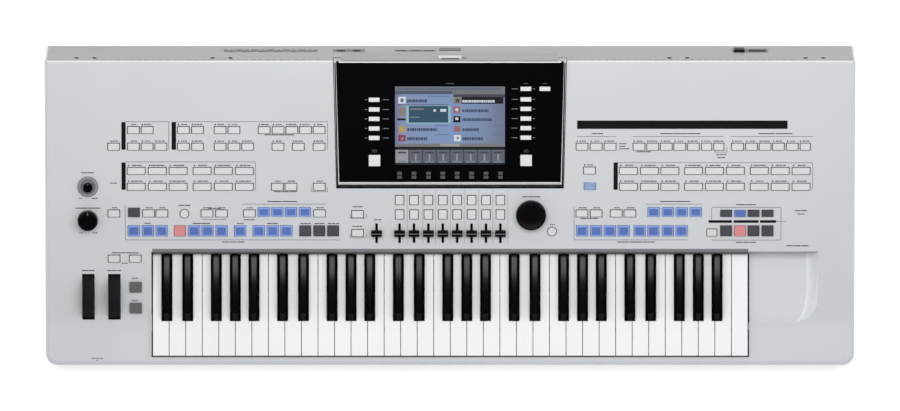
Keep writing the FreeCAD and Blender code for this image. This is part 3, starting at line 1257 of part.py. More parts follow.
board_x = -s.main_board_width / 2
board_y = back - s.main_board_depth - 2 * s.jack_depth
STANDOFF_SHARES = (0.04, 0.5, 0.96)
standoff_places = [(board_x + a * s.main_board_width, board_y + b * s.main_board_depth)
                   for a in STANDOFF_SHARES for b in (STANDOFF_SHARES[0], STANDOFF_SHARES[-1])]
standoffs = [rod(f"standoff_{i}", "standoff_radius", "board_standoff", (x, y, floor_top))
             for i, (x, y) in enumerate(standoff_places)]
lower_hollow = cut("lower_hollow", lower_inner, standoffs)
floor_holes = [rod(f"floor_hole_{i}", "screw_radius + running_play", PLATE_CUT,
                   (x, y, s.foot_height - s.overrun))
               for i, (x, y) in enumerate(screw_places)]
node("lower_case", cut("lower_case", cut("lower_tray", lower_outer, [lower_hollow]), floor_holes))

head_foot = s.foot_height - s.screw_head_height
screws = [
    fuse(f"screw_{i}", [
        rod(f"screw_head_{i}", "screw_head_radius", "screw_head_height", (x, y, head_foot)),
        rod(f"screw_shank_{i}", "screw_radius", "screw_length", (x, y, head_foot + s.screw_head_height / 2)),
    ])
    for i, (x, y) in enumerate(screw_places)
]
node("case_screws", group("case_screws", screws))

FOOT_X_SHARES = (-0.455, 0, 0.455)
foot_rows = (front + s.foot_inset, back - s.foot_inset)
feet = [rod(f"foot_{a}_{b}", "foot_radius", "foot_height", (x * case_width, y, 0))
        for a, x in enumerate(FOOT_X_SHARES) for b, y in enumerate(foot_rows)]
node("rubber_feet", group("rubber_feet", feet))

board_z = floor_top + s.board_standoff
CHIP_SHARES = ((0.2, 0.5), (0.45, 0.55), (0.7, 0.4))
chip_places = [(board_x + a * s.main_board_width, board_y + b * s.main_board_depth) for a, b in CHIP_SHARES]
chip_foot = board_z + s.board_thickness
chips = [mid_block(f"chip_{i}", "jack_pitch", "jack_pitch", "board_thickness", (x, y, chip_foot))
         for i, (x, y) in enumerate(chip_places)]
board = block("main_board_plate", "main_board_width", "main_board_depth", "board_thickness",
              (board_x, board_y, board_z))
node("main_board", group("main_board", [board] + chips))
SUPPLY_SHARE = 0.26
node("power_supply", block("power_supply", "supply_width", "supply_depth", "supply_height",
                           (SUPPLY_SHARE * case_width, board_y, floor_top)))

doc.recompute()

# Every object must have come out whole before anything is written
for thing in doc.Objects:
    if "Invalid" in thing.State or "Error" in thing.State:
        raise RuntimeError(f"{thing.Name} did not recompute: {thing.State}")
for label, thing in NODES.items():
    if thing.Shape.isNull() or not thing.Shape.isValid():
        raise RuntimeError(f"{label} is not a sound shape")

os.makedirs("parts", exist_ok=True)
for label, thing in NODES.items():
    thing.Shape.exportStep(f"parts/{label}.step")
print(f"{len(NODES)} nodes written")
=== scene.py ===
"""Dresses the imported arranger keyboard: finishes, printed panel, screen, turned controls, sockets and stage.

The file is laid out as a Blender add-on and is run as a script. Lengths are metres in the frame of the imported
solids: +X to the player's right, +Y to the back, +Z up.
"""

import math
from collections import defaultdict

import bmesh
import bpy
from bpy.props import FloatProperty, FloatVectorProperty, IntProperty, PointerProperty
from mathutils import Matrix, Vector


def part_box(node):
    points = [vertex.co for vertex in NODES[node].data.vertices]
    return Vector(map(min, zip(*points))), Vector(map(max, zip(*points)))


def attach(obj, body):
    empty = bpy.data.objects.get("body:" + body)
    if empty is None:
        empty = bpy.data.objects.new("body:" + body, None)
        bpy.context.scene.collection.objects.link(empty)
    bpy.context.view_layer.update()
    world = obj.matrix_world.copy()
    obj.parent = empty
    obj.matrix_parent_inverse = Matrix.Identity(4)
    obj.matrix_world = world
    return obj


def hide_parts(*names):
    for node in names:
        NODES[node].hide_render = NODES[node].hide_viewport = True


bl_info = {
    "name": "Arranger keyboard dressing",
    "version": (1, 0, 0),
    "blender": (4, 5, 0),
    "location": "View3D > Sidebar > Keyboard",
    "description": "Gives the packed keyboard its finishes, prints, screen and controls",
    "category": "Object",
}

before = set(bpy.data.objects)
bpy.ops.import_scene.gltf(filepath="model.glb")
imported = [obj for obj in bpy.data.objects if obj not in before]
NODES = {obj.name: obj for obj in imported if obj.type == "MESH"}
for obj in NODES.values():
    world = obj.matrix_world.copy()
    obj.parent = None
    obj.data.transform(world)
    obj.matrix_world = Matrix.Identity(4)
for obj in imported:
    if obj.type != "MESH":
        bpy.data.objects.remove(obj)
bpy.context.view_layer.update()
MM = 0.001
# How far a print or a cap is let into what carries it
SUNK = 0.1 * MM

# The panel's slope and the layout's pixel marks, the same as the solids follow
CASE_HALF = 570.0 * MM
DECK_Y = -165.0 * MM
DECK_Z = 64.0 * MM
TOP_Y = 203.0 * MM
TOP_Z = 138.0 * MM
BACK_Y = 225.0 * MM
FRONT_Y = -225.0 * MM
SPLIT_Z = 30.0 * MM
PANEL_FRONT_Y = -65.0 * MM
DISPLAY_DEPTH = 179.0 * MM
DISPLAY_GAP = 3.6 * MM
DISPLAY_HALF = 161.25 * MM
DISPLAY_FRONT_HALF = 159.0 * MM
DISPLAY_FACE = 1.6 * MM
TRIM_TOP = 2.2 * MM
TRAY_DROP = 2.0 * MM
OCTAVE = 163.1 * MM
TRAY_RIGHT = 518.8 * MM
TRAY_ROUND = 34.0 * MM
CHANNEL_PITCH = 20.27 * MM
SLOPE = math.atan2(TOP_Z - DECK_Z, TOP_Y - DECK_Y)
LEAN = math.atan2(BACK_Y - TOP_Y, TOP_Z - SPLIT_Z)
PANEL_LENGTH = math.hypot(TOP_Z - DECK_Z, TOP_Y - DECK_Y)
REAR_LENGTH = math.hypot(BACK_Y - TOP_Y, TOP_Z - SPLIT_Z)
BANK_START = (PANEL_FRONT_Y - DECK_Y) / math.cos(SLOPE)
DISPLAY_FRONT = PANEL_LENGTH - DISPLAY_DEPTH
PANEL = Matrix.Translation((0, DECK_Y, DECK_Z)) @ Matrix.Rotation(SLOPE, 4, "X")
REAR = Matrix.Translation((0, BACK_Y, SPLIT_Z)) @ Matrix.Rotation(math.pi / 2 + LEAN, 4, "X")
UPRIGHT = Matrix.Rotation(math.pi / 2, 4, "X")
FRONT = Matrix.Translation((0, FRONT_Y, 0)) @ Matrix.Rotation(math.pi, 4, "Z") @ UPRIGHT
DECK = Matrix.Translation((0, 0, DECK_Z))
LEFT_PX, DISPLAY_LEFT_PX, DISPLAY_RIGHT_PX, RIGHT_PX = 45.1, 335.5, 564.5, 854.9
REAR_PX, DISPLAY_FRONT_PX, BANK_PX, FRONT_PX = 61.2, 185.9, 250.5, 365.2
COLUMNS = (
    (LEFT_PX, -CASE_HALF), (DISPLAY_LEFT_PX, -DISPLAY_HALF), (DISPLAY_RIGHT_PX, DISPLAY_HALF),
    (RIGHT_PX, CASE_HALF),
)


def mm(*values):
    """Millimetres as metres."""
    return tuple(value * MM for value in values)


def between(px, px_0, px_1, low, high):
    """A distance that lies where a pixel lies between two marks."""
    return low + (px - px_0) / (px_1 - px_0) * (high - low)


def any_u(px):
    """A column of the left bank, of the display and the strip in front of it, or of the right bank."""
    bank = (px >= DISPLAY_LEFT_PX) + (px > DISPLAY_RIGHT_PX)
    (px_0, low), (px_1, high) = COLUMNS[bank:bank + 2]
    return between(px, px_0, px_1, low, high)


def bank_v(px):
    """A row of the side banks."""
    return between(px, BANK_PX, REAR_PX, BANK_START, PANEL_LENGTH)


def middle_v(px):
    """A row of the strip between the display and the keys."""
    return between(px, BANK_PX, DISPLAY_FRONT_PX, BANK_START, DISPLAY_FRONT - DISPLAY_GAP)


def screen_v(px):
    """A row of the display's face."""
    return between(px, DISPLAY_FRONT_PX, REAR_PX, DISPLAY_FRONT, PANEL_LENGTH)


def deck_y(px):
    """How far back a row in front of the control panel lies."""
    return between(px, FRONT_PX, BANK_PX, FRONT_Y, PANEL_FRONT_Y)


def slope_z(y):
    """The height of the sloping panel's face."""
    return DECK_Z + (y - DECK_Y) * math.tan(SLOPE)


def on_bank(px_u, px_v):
    """A place whose row is one of the side banks'."""
    return any_u(px_u), bank_v(px_v)


def on_panel(px_u, px_v):
    """A place on whichever bank the column lies in."""
    in_middle = DISPLAY_LEFT_PX < px_u < DISPLAY_RIGHT_PX
    return any_u(px_u), middle_v(px_v) if in_middle else bank_v(px_v)


def colour(words, default):
    """A colour that a user would change."""
    return FloatVectorProperty(name=words, description=f"Colour of the {words.lower()}", default=default,
                               subtype="COLOR", size=3, min=0.0, max=1.0)


def length(words, default, description):
    """A length that a user would change."""
    return FloatProperty(name=words, description=description, default=default, min=0.0, unit="LENGTH")


class KeyboardFinish(bpy.types.PropertyGroup):
    """Colours of the finishes."""
    silver: colour("Silver shell", (0.605, 0.628, 0.652))
    charcoal: colour("Charcoal floor tray", (0.035, 0.036, 0.04))
    white_key: colour("White keys", (0.86, 0.87, 0.885))
    sharp: colour("Sharps", (0.0025, 0.0025, 0.003))
    button: colour("Light buttons", (0.63, 0.638, 0.655))
    blue: colour("Blue pads", (0.20, 0.30, 0.62))
    blue_core: colour("Blue pads' middles", (0.075, 0.135, 0.38))
    red: colour("Red pads", (0.58, 0.21, 0.22))
    grey: colour("Grey pads", (0.055, 0.058, 0.068))
    black: colour("Black controls", (0.0025, 0.0025, 0.003))
    glass: colour("Display bezel", (0.002, 0.0021, 0.003))
    chrome: colour("Display trim", (0.62, 0.63, 0.64))
    # The dark print colour also paints the shade in the keys' slot, the faders' slots and the bracket holes
    ink: colour("Dark prints", (0.006, 0.006, 0.007))
    line: colour("Panel lines", (0.17, 0.175, 0.185))
    legend: colour("Panel legends", (0.05, 0.052, 0.056))
    rear: colour("Rear panel", (0.25, 0.254, 0.266))
    # The colour of the painted shade in the gaps round the buttons
    rim: colour("Button rims", (0.05, 0.052, 0.056))
    felt: colour("Felt", (0.22, 0.225, 0.235))
    board: colour("Circuit boards", (0.02, 0.10, 0.045))
    metal: colour("Bare metal", (0.50, 0.50, 0.51))


class KeyboardForm(bpy.types.PropertyGroup):
    """Sizes of the dressing."""
    key_round: length("Key edge", 0.7 * MM, "Rounding of the keys' edges")
    button_round: length("Button edge", 0.6 * MM, "Rounding of the buttons' edges")
    print_rise: length("Print height", 0.12 * MM, "How far printed marks stand out of the panel")
    # The dark edge round a button is painted shade
    gap_shade_width: length("Rim width", 0.5 * MM, "Width of the dark edge round a button")
    line_width: length("Line width", 0.75 * MM, "Width of the printed lines")
    legend_height: length("Legend height", 1.3 * MM, "Height of the dashes that stand for lettering")
    knob_ribs: IntProperty(name="Knob ribs", description="Ribs round a knob's side", default=36, min=6,
                           max=120)
    wheel_ribs: IntProperty(name="Wheel ribs", description="Ribs round a wheel", default=64, min=8, max=160)


class KeyboardStage(bpy.types.PropertyGroup):
    """Camera and lights."""
    height: length("Camera height", 24.0, "Height of the camera above the floor")
    view_width: length("View width", 1.2672, "Width of the picture at the panel")
    sky: FloatProperty(name="Sky", description="Strength of the even light", default=0.74, min=0.0)
    key_power: FloatProperty(name="Main light", description="Power of the large light", default=29.0, min=0.0,
                             subtype="POWER")


def finish():
    """The colours in use."""
    return bpy.context.scene.keyboard_finish


def form():
    """The sizes in use."""
    return bpy.context.scene.keyboard_form


# Materials: each is a node tree with its own grain, sheen and small unevenness


class Tree:
    """A material's node tree, built link by link."""

    # Places of the colour sockets in Blender's mix node
    MIX_SHARE, MIX_FIRST, MIX_SECOND, MIX_RESULT = 0, 6, 7, 2

    def __init__(self, name):
        self.material = bpy.data.materials.new(name)
        self.material.use_nodes = True
        self.nodes = self.material.node_tree.nodes
        self.links = self.material.node_tree.links
        self.shader = self.nodes["Principled BSDF"]
        outputs = self.nodes.new("ShaderNodeTexCoord").outputs
        self.coords, self.normals = outputs["Object"], outputs["Normal"]

    def plug(self, entry, value):
        """Links an input to a socket, or sets it to a fixed value."""
        if isinstance(value, bpy.types.NodeSocket):
            self.links.new(value, entry)
        else:
            entry.default_value = value

    def add(self, kind, **values):
        """A node with some of its inputs linked or set."""
        made = self.nodes.new(kind)
        for name, value in values.items():
            self.plug(made.inputs[name.replace("_", " ")], value)
        return made

    def set(self, **values):
        """The shader's own inputs, linked or set."""
        for name, value in values.items():
            self.plug(self.shader.inputs[name.replace("_", " ")], value)

    def math(self, operation, first, second):
        """A calculation on two sockets, or on a socket and a number."""
        made = self.add("ShaderNodeMath")
        made.operation = operation
        self.plug(made.inputs[0], first)
        self.plug(made.inputs[1], second)
        return made.outputs["Value"]

    def mix(self, share, first, second, way="MIX"):
        """Two colours mixed by a share."""
        made = self.add("ShaderNodeMix")
        made.data_type = "RGBA"
        made.blend_type = way
        for at, value in ((self.MIX_SHARE, share), (self.MIX_FIRST, first), (self.MIX_SECOND, second)):
            self.plug(made.inputs[at], value)
        return made.outputs[self.MIX_RESULT]

    def split(self, source):
        """A vector's coordinates."""
        return self.add("ShaderNodeSeparateXYZ", Vector=source).outputs

    def noise(self, scale, detail, rough=0.5, stretch=None):
        """Even noise over the surface, stretched along an axis where asked."""
        source = self.coords
        if stretch:
            source = self.add("ShaderNodeMapping", Vector=source, Scale=stretch).outputs["Vector"]
        made = self.add("ShaderNodeTexNoise", Vector=source, Scale=scale, Detail=detail, Roughness=rough)
        return made.outputs["Fac"]

    def ramp(self, source, stops):
        """Colours picked by a grey value."""
        made = self.add("ShaderNodeValToRGB", Fac=source)
        band = made.color_ramp
        while len(band.elements) < len(stops):
            band.elements.new(1.0)
        for element, (at, tint) in zip(band.elements, stops):
            element.position = at
            element.color = (*tint, 1.0)
        return made.outputs["Color"]

    def tinted(self, source, tint, low, high, edge=0.3):
        """A colour that a grey value makes darker and lighter."""
        return self.ramp(source, ((edge, shade(tint, low)), (1 - edge, shade(tint, high))))

    def spread(self, source, low, high):
        """A grey value moved into a range."""
        return self.add("ShaderNodeMapRange", Value=source, To_Min=low, To_Max=high).outputs["Result"]

    def fade(self, source, first, last, top=1.0):
        """A value that goes from nought to a top while a source goes from a first number to a last."""
        made = self.add("ShaderNodeMapRange", Value=source, From_Min=first, From_Max=last, To_Max=top)
        return made.outputs["Result"]

    def bump(self, source, strength, distance):
        """Fine relief from a grey value."""
        made = self.add("ShaderNodeBump", Height=source, Strength=strength, Distance=distance)
        self.set(Normal=made.outputs["Normal"])


def shade(tint, factor):
    """A colour made lighter or darker."""
    return tuple(min(1.0, c * factor) for c in tint)


def moulded(name, tint, rough, grain, relief, drift=0.05, gloss=0.5, coat=0.0, glow=0.0):
    """Moulded or painted plastic: fine grain, slow drift of tone, uneven gloss."""
    tree = Tree(name)
    slow = tree.noise(scale=9.0, detail=3.0)
    fine = tree.noise(scale=grain, detail=2.0)
    uneven, smoothest = 0.06, 0.02
    tree.set(Base_Color=tree.tinted(slow, tint, 1 - drift, 1 + drift),
             Roughness=tree.spread(fine, max(smoothest, rough - uneven), rough + uneven),
             Specular_IOR_Level=gloss, Coat_Weight=coat, Coat_Roughness=0.12)
    tree.bump(fine, strength=relief, distance=0.05 * MM)
    if glow:
        tree.set(Emission_Color=(*tint, 1.0), Emission_Strength=glow)
    return tree.material


def seen(rgb):
    """A colour as it looks on a screen, from 0 to 255, as light by the usual curve of a screen."""
    return tuple(((c / 255 + 0.055) / 1.055) ** 2.4 if c > 10 else c / 255 / 12.92 for c in rgb)


def glowing(tree, tone):
    """A screen's own light in front of its dark glass."""
    tree.set(Emission_Color=tone, Emission_Strength=1.0, Roughness=0.25, Base_Color=BARE_BLACK_AND_SHADE)
    return tree.material


def lit(name, tint):
    """A lit part of a screen, with the fine unevenness of its dots."""
    tree = Tree(name)
    dots = tree.noise(scale=1600.0, detail=2.0)
    return glowing(tree, tree.tinted(dots, tint, 0.9, 1.1))


def lit_field(name, stops):
    """A lit field whose colour changes from left to right."""
    tree = Tree(name)
    across = tree.fade(tree.split(tree.coords)["X"], -FIELD_HALF, FIELD_HALF)
    return glowing(tree, tree.ramp(across, stops))


def silver_paint(name, tint, shaded_openings=False):
    """Silver paint: small flakes under a satin coat; inside a panel's openings, bare black plastic with painted
    shade.
    """
    tree = Tree(name)
    slow = tree.noise(scale=5.0, detail=3.0)
    flake = tree.noise(scale=4200.0, detail=1.0)
    tone = tree.tinted(slow, tint, 0.97, 1.03, edge=0.25)
    sparkle = tree.ramp(flake, ((0.35, (0.90, 0.90, 0.90)), (0.75, (1.0, 1.0, 1.0))))
    painted = tree.mix(0.6, tone, sparkle, "MULTIPLY")
    if shaded_openings:
        # Painted shade: black under the panel's face and inside its openings
        painted = tree.mix(openings_shade_mask(tree), painted, BARE_BLACK_AND_SHADE)
    tree.set(Base_Color=painted, Roughness=tree.spread(flake, 0.40, 0.54), Metallic=0.06,
             Specular_IOR_Level=0.4, Coat_Weight=0.08, Coat_Roughness=0.3)
    tree.bump(tree.noise(scale=1500.0, detail=2.0), strength=0.05, distance=0.04 * MM)
    return tree.material


def openings_shade_mask(tree):
    """One under the control panel's face and inside its edges, and nought elsewhere."""
    turn = (SLOPE, 0, 0)
    local = tree.add("ShaderNodeMapping", Vector=tree.coords, Location=(0, DECK_Y, DECK_Z), Rotation=turn)
    local.vector_type = "TEXTURE"
    place = tree.split(local.outputs["Vector"])
    rim, front_rim, skin = mm(6.0, 1.0, 0.25)
    limits = (
        ("Y", "GREATER_THAN", BANK_START + front_rim), ("Y", "LESS_THAN", PANEL_LENGTH - rim),
        ("X", "LESS_THAN", CASE_HALF - rim), ("X", "GREATER_THAN", rim - CASE_HALF),
    )
    inside = tree.math("LESS_THAN", place["Z"], -skin)
    for axis, operation, limit in limits:
        inside = tree.math("MULTIPLY", inside, tree.math(operation, place[axis], limit))
    return inside


def brushed(name, tint, rough):
    """Bare metal with drawn lines."""
    tree = Tree(name)
    lines = tree.noise(scale=40.0, detail=3.0, stretch=(6.0, 900.0, 900.0))
    tree.set(Base_Color=tree.tinted(lines, tint, 0.9, 1.1), Metallic=1.0,
             Roughness=tree.spread(lines, rough - 0.08, rough + 0.1))
    tree.bump(lines, strength=0.06, distance=0.03 * MM)
    return tree.material


def woven(name, tint):
    """Pressed felt: short fibres with a soft sheen."""
    tree = Tree(name)
    fibres = tree.noise(scale=1800.0, detail=5.0, rough=0.7)
    tree.set(Base_Color=tree.tinted(fibres, tint, 0.7, 1.25), Roughness=0.95, Sheen_Weight=0.4)
    tree.bump(fibres, strength=0.5, distance=0.2 * MM)
    return tree.material


def rolled_felt(name, tint):
    """Felt with painted shade: darker towards its front, where it turns from the light into a slot."""
    tree = Tree(name)
    fibres = tree.noise(scale=1800.0, detail=5.0, rough=0.7)
    front, rear = mm(-3.4, 4.0)
    across = tree.fade(tree.split(tree.coords)["Y"], PANEL_FRONT_Y + front, PANEL_FRONT_Y + rear)
    # Painted shade: the felt's colour darkens towards its front edge
    stops = ((0.0, 0.35), (0.3, 0.45), (0.5, 0.8), (1.0, 0.9))
    tone = tree.ramp(across, [(at, shade(tint, factor)) for at, factor in stops])
    tree.set(Base_Color=tone, Roughness=0.95, Sheen_Weight=0.1)
    tree.bump(fibres, strength=0.4, distance=0.15 * MM)
    return tree.material


def lacquered(name, tint, first, pitch):
    """Black lacquer on sharps a pitch apart: polished down the middle and dull at the sides, with painted shade
    at the rear, where the gloss is taken off.
    """
    tree = Tree(name)
    fine = tree.noise(scale=1800.0, detail=2.0)
    facing, place = tree.split(tree.normals), tree.split(tree.coords)
    level = tree.fade(facing["Z"], 0.975, 0.998, top=0.5)
    nose = tree.fade(facing["Y"], -0.45, -0.6, top=0.14)
    aside = tree.math("PINGPONG", tree.math("SUBTRACT", place["X"], first), pitch / 2)
    dull_side, polished_side, rear_shade_full, rear_shade_end = mm(4.2, 3.0, 5.0, 10.0)
    middle = tree.fade(aside, dull_side, polished_side)
    # Painted shade: the gloss fades out towards the sharps' rear ends, in the slot felt's shade
    clear = tree.fade(place["Y"], PANEL_FRONT_Y - rear_shade_full, PANEL_FRONT_Y - rear_shade_end)
    strip = tree.math("MULTIPLY", middle, clear)
    tree.set(Base_Color=tree.tinted(fine, tint, 0.85, 1.15), Roughness=tree.spread(fine, 0.5, 0.62),
             Coat_Weight=tree.math("MULTIPLY", tree.math("MAXIMUM", level, nose), strip),
             Specular_IOR_Level=0.0, Coat_IOR=1.65, Coat_Roughness=0.055)
    return tree.material


def circuit(name, tint):
    """A lacquered board with faint copper runs under the lacquer."""
    tree = Tree(name)
    runs = tree.noise(scale=240.0, detail=2.0, stretch=(1.0, 6.0, 1.0))
    tree.set(Base_Color=tree.ramp(runs, ((0.47, tint), (0.5, shade(tint, 1.7)), (0.53, tint))),
             Roughness=tree.spread(runs, 0.25, 0.4))
    return tree.material


# Finishes: maker, material and colour, then a plastic's roughness, grain, relief, drift, gloss, coat, glow
FINISHES = {
    "tray": (silver_paint, "tray_paint", "silver"),
    "panel": (silver_paint, "panel_paint", "silver", True),
    "rear": (silver_paint, "rear_paint", "rear"),
    "cover": (silver_paint, "cover_paint", "rear"),
    # Painted shade round the buttons
    "rim": (moulded, "button_rim", "rim", 0.55, 2400.0, 0.05),
    "charcoal": (moulded, "charcoal_tray", "charcoal", 0.6, 1400.0, 0.3),
    "white_key": (moulded, "white_key_plastic", "white_key", 0.32, 2200.0, 0.02, 0.015, 0.25, 0.1),
    "button": (moulded, "button_plastic", "button", 0.42, 2400.0, 0.05, 0.03),
    "blue": (moulded, "blue_pad_plastic", "blue", 0.4, 2400.0, 0.05, 0.05, 0.5, 0.0, 0.18),
    "blue_core": (moulded, "blue_pad_middle", "blue_core", 0.42, 2400.0, 0.05, 0.08, 0.5, 0.0, 0.15),
    "pale_blue": (moulded, "pale_pad_plastic", (0.25, 0.33, 0.53), 0.42, 2400.0, 0.05),
    "mid_grey": (moulded, "cheek_pad_plastic", (0.11, 0.112, 0.122), 0.45, 2400.0, 0.05, 0.1, 0.3),
    # The lip finish is a pale grey for painted highlights on edges that catch the light
    "lip": (moulded, "well_lip", (0.80, 0.81, 0.82), 0.4, 2400.0, 0.03, 0.03),
    "socket": (moulded, "socket_plastic", (0.10, 0.102, 0.108), 0.5, 2000.0, 0.1, 0.06, 0.3),
    "socket_ring": (brushed, "socket_ring_metal", (0.30, 0.305, 0.31), 0.5),
    "red": (moulded, "red_pad_plastic", "red", 0.4, 2400.0, 0.05, 0.05, 0.5, 0.0, 0.15),
    "grey": (moulded, "grey_pad_plastic", "grey", 0.45, 2400.0, 0.05, 0.05, 0.3),
    "black": (moulded, "black_control", "black", 0.3, 2000.0, 0.06, 0.2, 0.06),
    "soft_black": (moulded, "rubbery_black", "black", 0.55, 1600.0, 0.2, 0.2, 0.12),
    "glass": (moulded, "display_glass_black", "glass", 0.12, 3000.0, 0.005, 0.1, 0.25, 0.15),
    "chrome": (moulded, "display_trim_silver", "chrome", 0.25, 2600.0, 0.02, 0.04, 0.5, 0.3),
    "ink": (moulded, "dark_print", "ink", 0.55, 3000.0, 0.02, 0.1, 0.08),
    "line": (moulded, "line_print", "line", 0.5, 3000.0, 0.02, 0.05, 0.2),
    "legend": (moulded, "legend_print", "legend", 0.5, 3000.0, 0.02, 0.05, 0.2),
    "felt": (woven, "key_felt", "felt"),
    "slot_felt": (rolled_felt, "rolled_felt", "felt"),
    "board": (circuit, "circuit_board", "board"),
    "metal": (brushed, "bare_metal", "metal", 0.35),
    "rubber": (moulded, "foot_rubber", (0.02, 0.02, 0.021), 0.85, 900.0, 0.4, 0.15),
    "dish": (moulded, "gain_dish_grey", (0.15, 0.16, 0.17), 0.4, 2400.0, 0.05, 0.04),
    "dish_ring": (moulded, "gain_ring_grey", (0.27, 0.285, 0.30), 0.35, 2400.0, 0.05, 0.04),
    "dim_mark": (moulded, "dim_mark_grey", (0.075, 0.077, 0.082), 0.5, 3000.0, 0.02, 0.06, 0.2),
    "screen_key": (moulded, "screen_key_white", (0.70, 0.71, 0.72), 0.4, 2400.0, 0.04, 0.02),
    "floor": (moulded, "pale_floor", (0.88, 0.88, 0.88), 0.7, 300.0, 0.02, 0.01, 0.5, 0.0, 0.7),
}
# How much lighter a finish is than the colour that it is taken from; the tray's is painted light on its wall
LIGHTER = {"tray": 1.16, "cover": 1.26, "soft_black": 1.8}
MATERIALS = {}
# The black of bare plastic behind the screen, and bare plastic with painted shade inside the panel's openings
BARE_BLACK_AND_SHADE = (0.006, 0.006, 0.007, 1.0)
SCREEN_TINTS = {
    "title": (108, 113, 119), "title_low": (78, 88, 110), "row_black": (14, 14, 19), "row_dark": (66, 67, 80),
    "card": (48, 78, 98), "card_edge": (142, 186, 197), "word": (62, 76, 104), "white": (205, 210, 220),
    "tan": (134, 122, 116), "ochre": (178, 150, 92), "red_tile": (138, 46, 66), "pink_tile": (150, 96, 108),
    "band": (118, 119, 124), "band_light": (150, 150, 154), "strip": (20, 20, 24), "segment": (93, 98, 106),
    "segment_light": (146, 147, 152), "segment_line": (120, 127, 136), "caption": (100, 112, 150),
}
FIELD_STOPS = (
    (0.0, (104, 112, 146)), (0.07, (128, 143, 176)), (0.5, (122, 146, 183)), (0.8, (120, 136, 166)),
    (1.0, (106, 112, 138)),
)
FIELD_HALF = 77.5 * MM


def material(name):
    """A finish by name, made the first time it is asked for."""
    if name not in MATERIALS:
        MATERIALS[name] = new_material(name)
    return MATERIALS[name]


def new_material(name):
    """A screen's tint, the lacquer of one pitch of sharps, or a finish of the table."""
    if name in SCREEN_TINTS:
        return lit(f"screen_{name}", seen(SCREEN_TINTS[name]))
    if name == "screen_field":
        return lit_field(name, [(at, seen(rgb)) for at, rgb in FIELD_STOPS])
    if name in SHARP_NAMES:
        low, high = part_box(f"key_{name}")
        return lacquered(f"sharp_{name}", tuple(finish().sharp), (low[0] + high[0]) / 2, OCTAVE)
    maker, label, source, *values = FINISHES[name]
    tint = tuple(getattr(finish(), source)) if isinstance(source, str) else source
    return maker(label, shade(tint, LIGHTER.get(name, 1.0)), *values)


# Meshes: pieces are gathered as shapes in a frame and made into one object


class Shapes:
    """Solid shapes laid out in a frame's own u, v and n, gathered into one mesh."""

    def __init__(self, frame=PANEL):
        self.frame = frame
        self.mesh = bmesh.new()

    def corners(self, points):
        """Corners at points of the frame."""
        return [self.mesh.verts.new(self.frame @ Vector(point)) for point in points]

    def ring(self, points, n):
        """Corners of an outline at one height."""
        return self.corners([(u, v, n) for u, v in points])

    def skin(self, rings, closed=True):
        """Faces between rings of corners, with the ends filled. Like every shape, it returns the shapes."""
        for low, high in zip(rings, rings[1:]):
            count = len(low)
            for i in range(count):
                j = (i + 1) % count
                self.mesh.faces.new((low[i], low[j], high[j], high[i]))
        if closed:
            self.mesh.faces.new(list(reversed(rings[0])))
            self.mesh.faces.new(rings[-1])
        return self

    def loft(self, outlines):
        """A solid through outlines of points in the frame."""
        return self.skin([self.corners(outline) for outline in outlines])

    def prism(self, points, n_0, n_1, inset=0.0, step=0.0):
        """An upright outline, drawn in at its top edge where asked."""
        rings = [self.ring(points, n_0), self.ring(points, n_1 - step)]
        if inset:
            rings.append(self.ring(drawn_in(points, inset), n_1))
        return self.skin(rings)

    def bar(self, u_0, u_1, v_0, v_1, n_0, n_1, inset=0.0, step=0.0):
        """A flat bar between two corners."""
        return self.prism([(u_0, v_0), (u_1, v_0), (u_1, v_1), (u_0, v_1)], n_0, n_1, inset, step)

    def plate(self, u, v, width, depth, n_0, n_1, inset=0.0, step=0.0):
        """A flat bar about a centre."""
        half, deep = width / 2, depth / 2
        return self.bar(u - half, u + half, v - deep, v + deep, n_0, n_1, inset, step)

    def rounded(self, u, v, width, depth, radius, n_0, n_1, inset=0.0, step=0.0):
        """A plate with round corners about a centre."""
        return self.prism(round_plan(u, v, width, depth, radius), n_0, n_1, inset, step)

    def rim(self, u, v, width, depth, radius, wide, n_0, n_1):
        """A flat frame round a rectangular place."""
        inner = round_plan(u, v, width, depth, radius)
        outer = round_plan(u, v, width + 2 * wide, depth + 2 * wide, radius + wide)
        rings = [self.ring(outer, n_0), self.ring(outer, n_1), self.ring(inner, n_1), self.ring(inner, n_0)]
        return self.skin(rings + rings[:1], False)

    def turned(self, u, v, profile, sides, ribs=0, ribbed=(), bored=False):
        """A turned form about n: a profile of radius and height, with ribs on some of its rings."""
        depths = tuple(ribbed) + (0.0,) * (len(profile) - len(ribbed))
        rings = [self.ring(round_points(u, v, radius, sides, ribs, deep), n)
                 for (radius, n), deep in zip(profile, depths)]
        return self.skin(rings + rings[:1] if bored else rings, not bored)

    def washer(self, u, v, inner, outer, n_0, n_1, sides=48):
        """A flat ring about a centre."""
        profile = ((inner, n_0), (outer, n_0), (outer, n_1), (inner, n_1))
        return self.turned(u, v, profile, sides, bored=True)

    def wire(self, points, width, n_0, n_1):
        """A printed line of even width through points, with square ends."""
        for first, last in zip(points, points[1:]):
            a, b = Vector(first), Vector(last)
            end = (b - a).normalized() * width / 2
            side = Vector((-end.y, end.x))
            self.prism([a - end - side, b + end - side, b + end + side, a - end + side], n_0, n_1)
        return self

    def made(self, name, finish_name, body="case", slot="black_plastic", smooth=0.0):
        """The object, finished and set to ride on its body, smooth up to an angle where asked."""
        bmesh.ops.recalc_face_normals(self.mesh, faces=self.mesh.faces)
        data = bpy.data.meshes.new(name)
        self.mesh.to_mesh(data)
        self.mesh.free()
        data.materials.append(material(finish_name))
        piece = placed(name, data)
        if smooth:
            data.shade_smooth()
            crisp_edges(piece, smooth)
        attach(piece, body)
        return piece


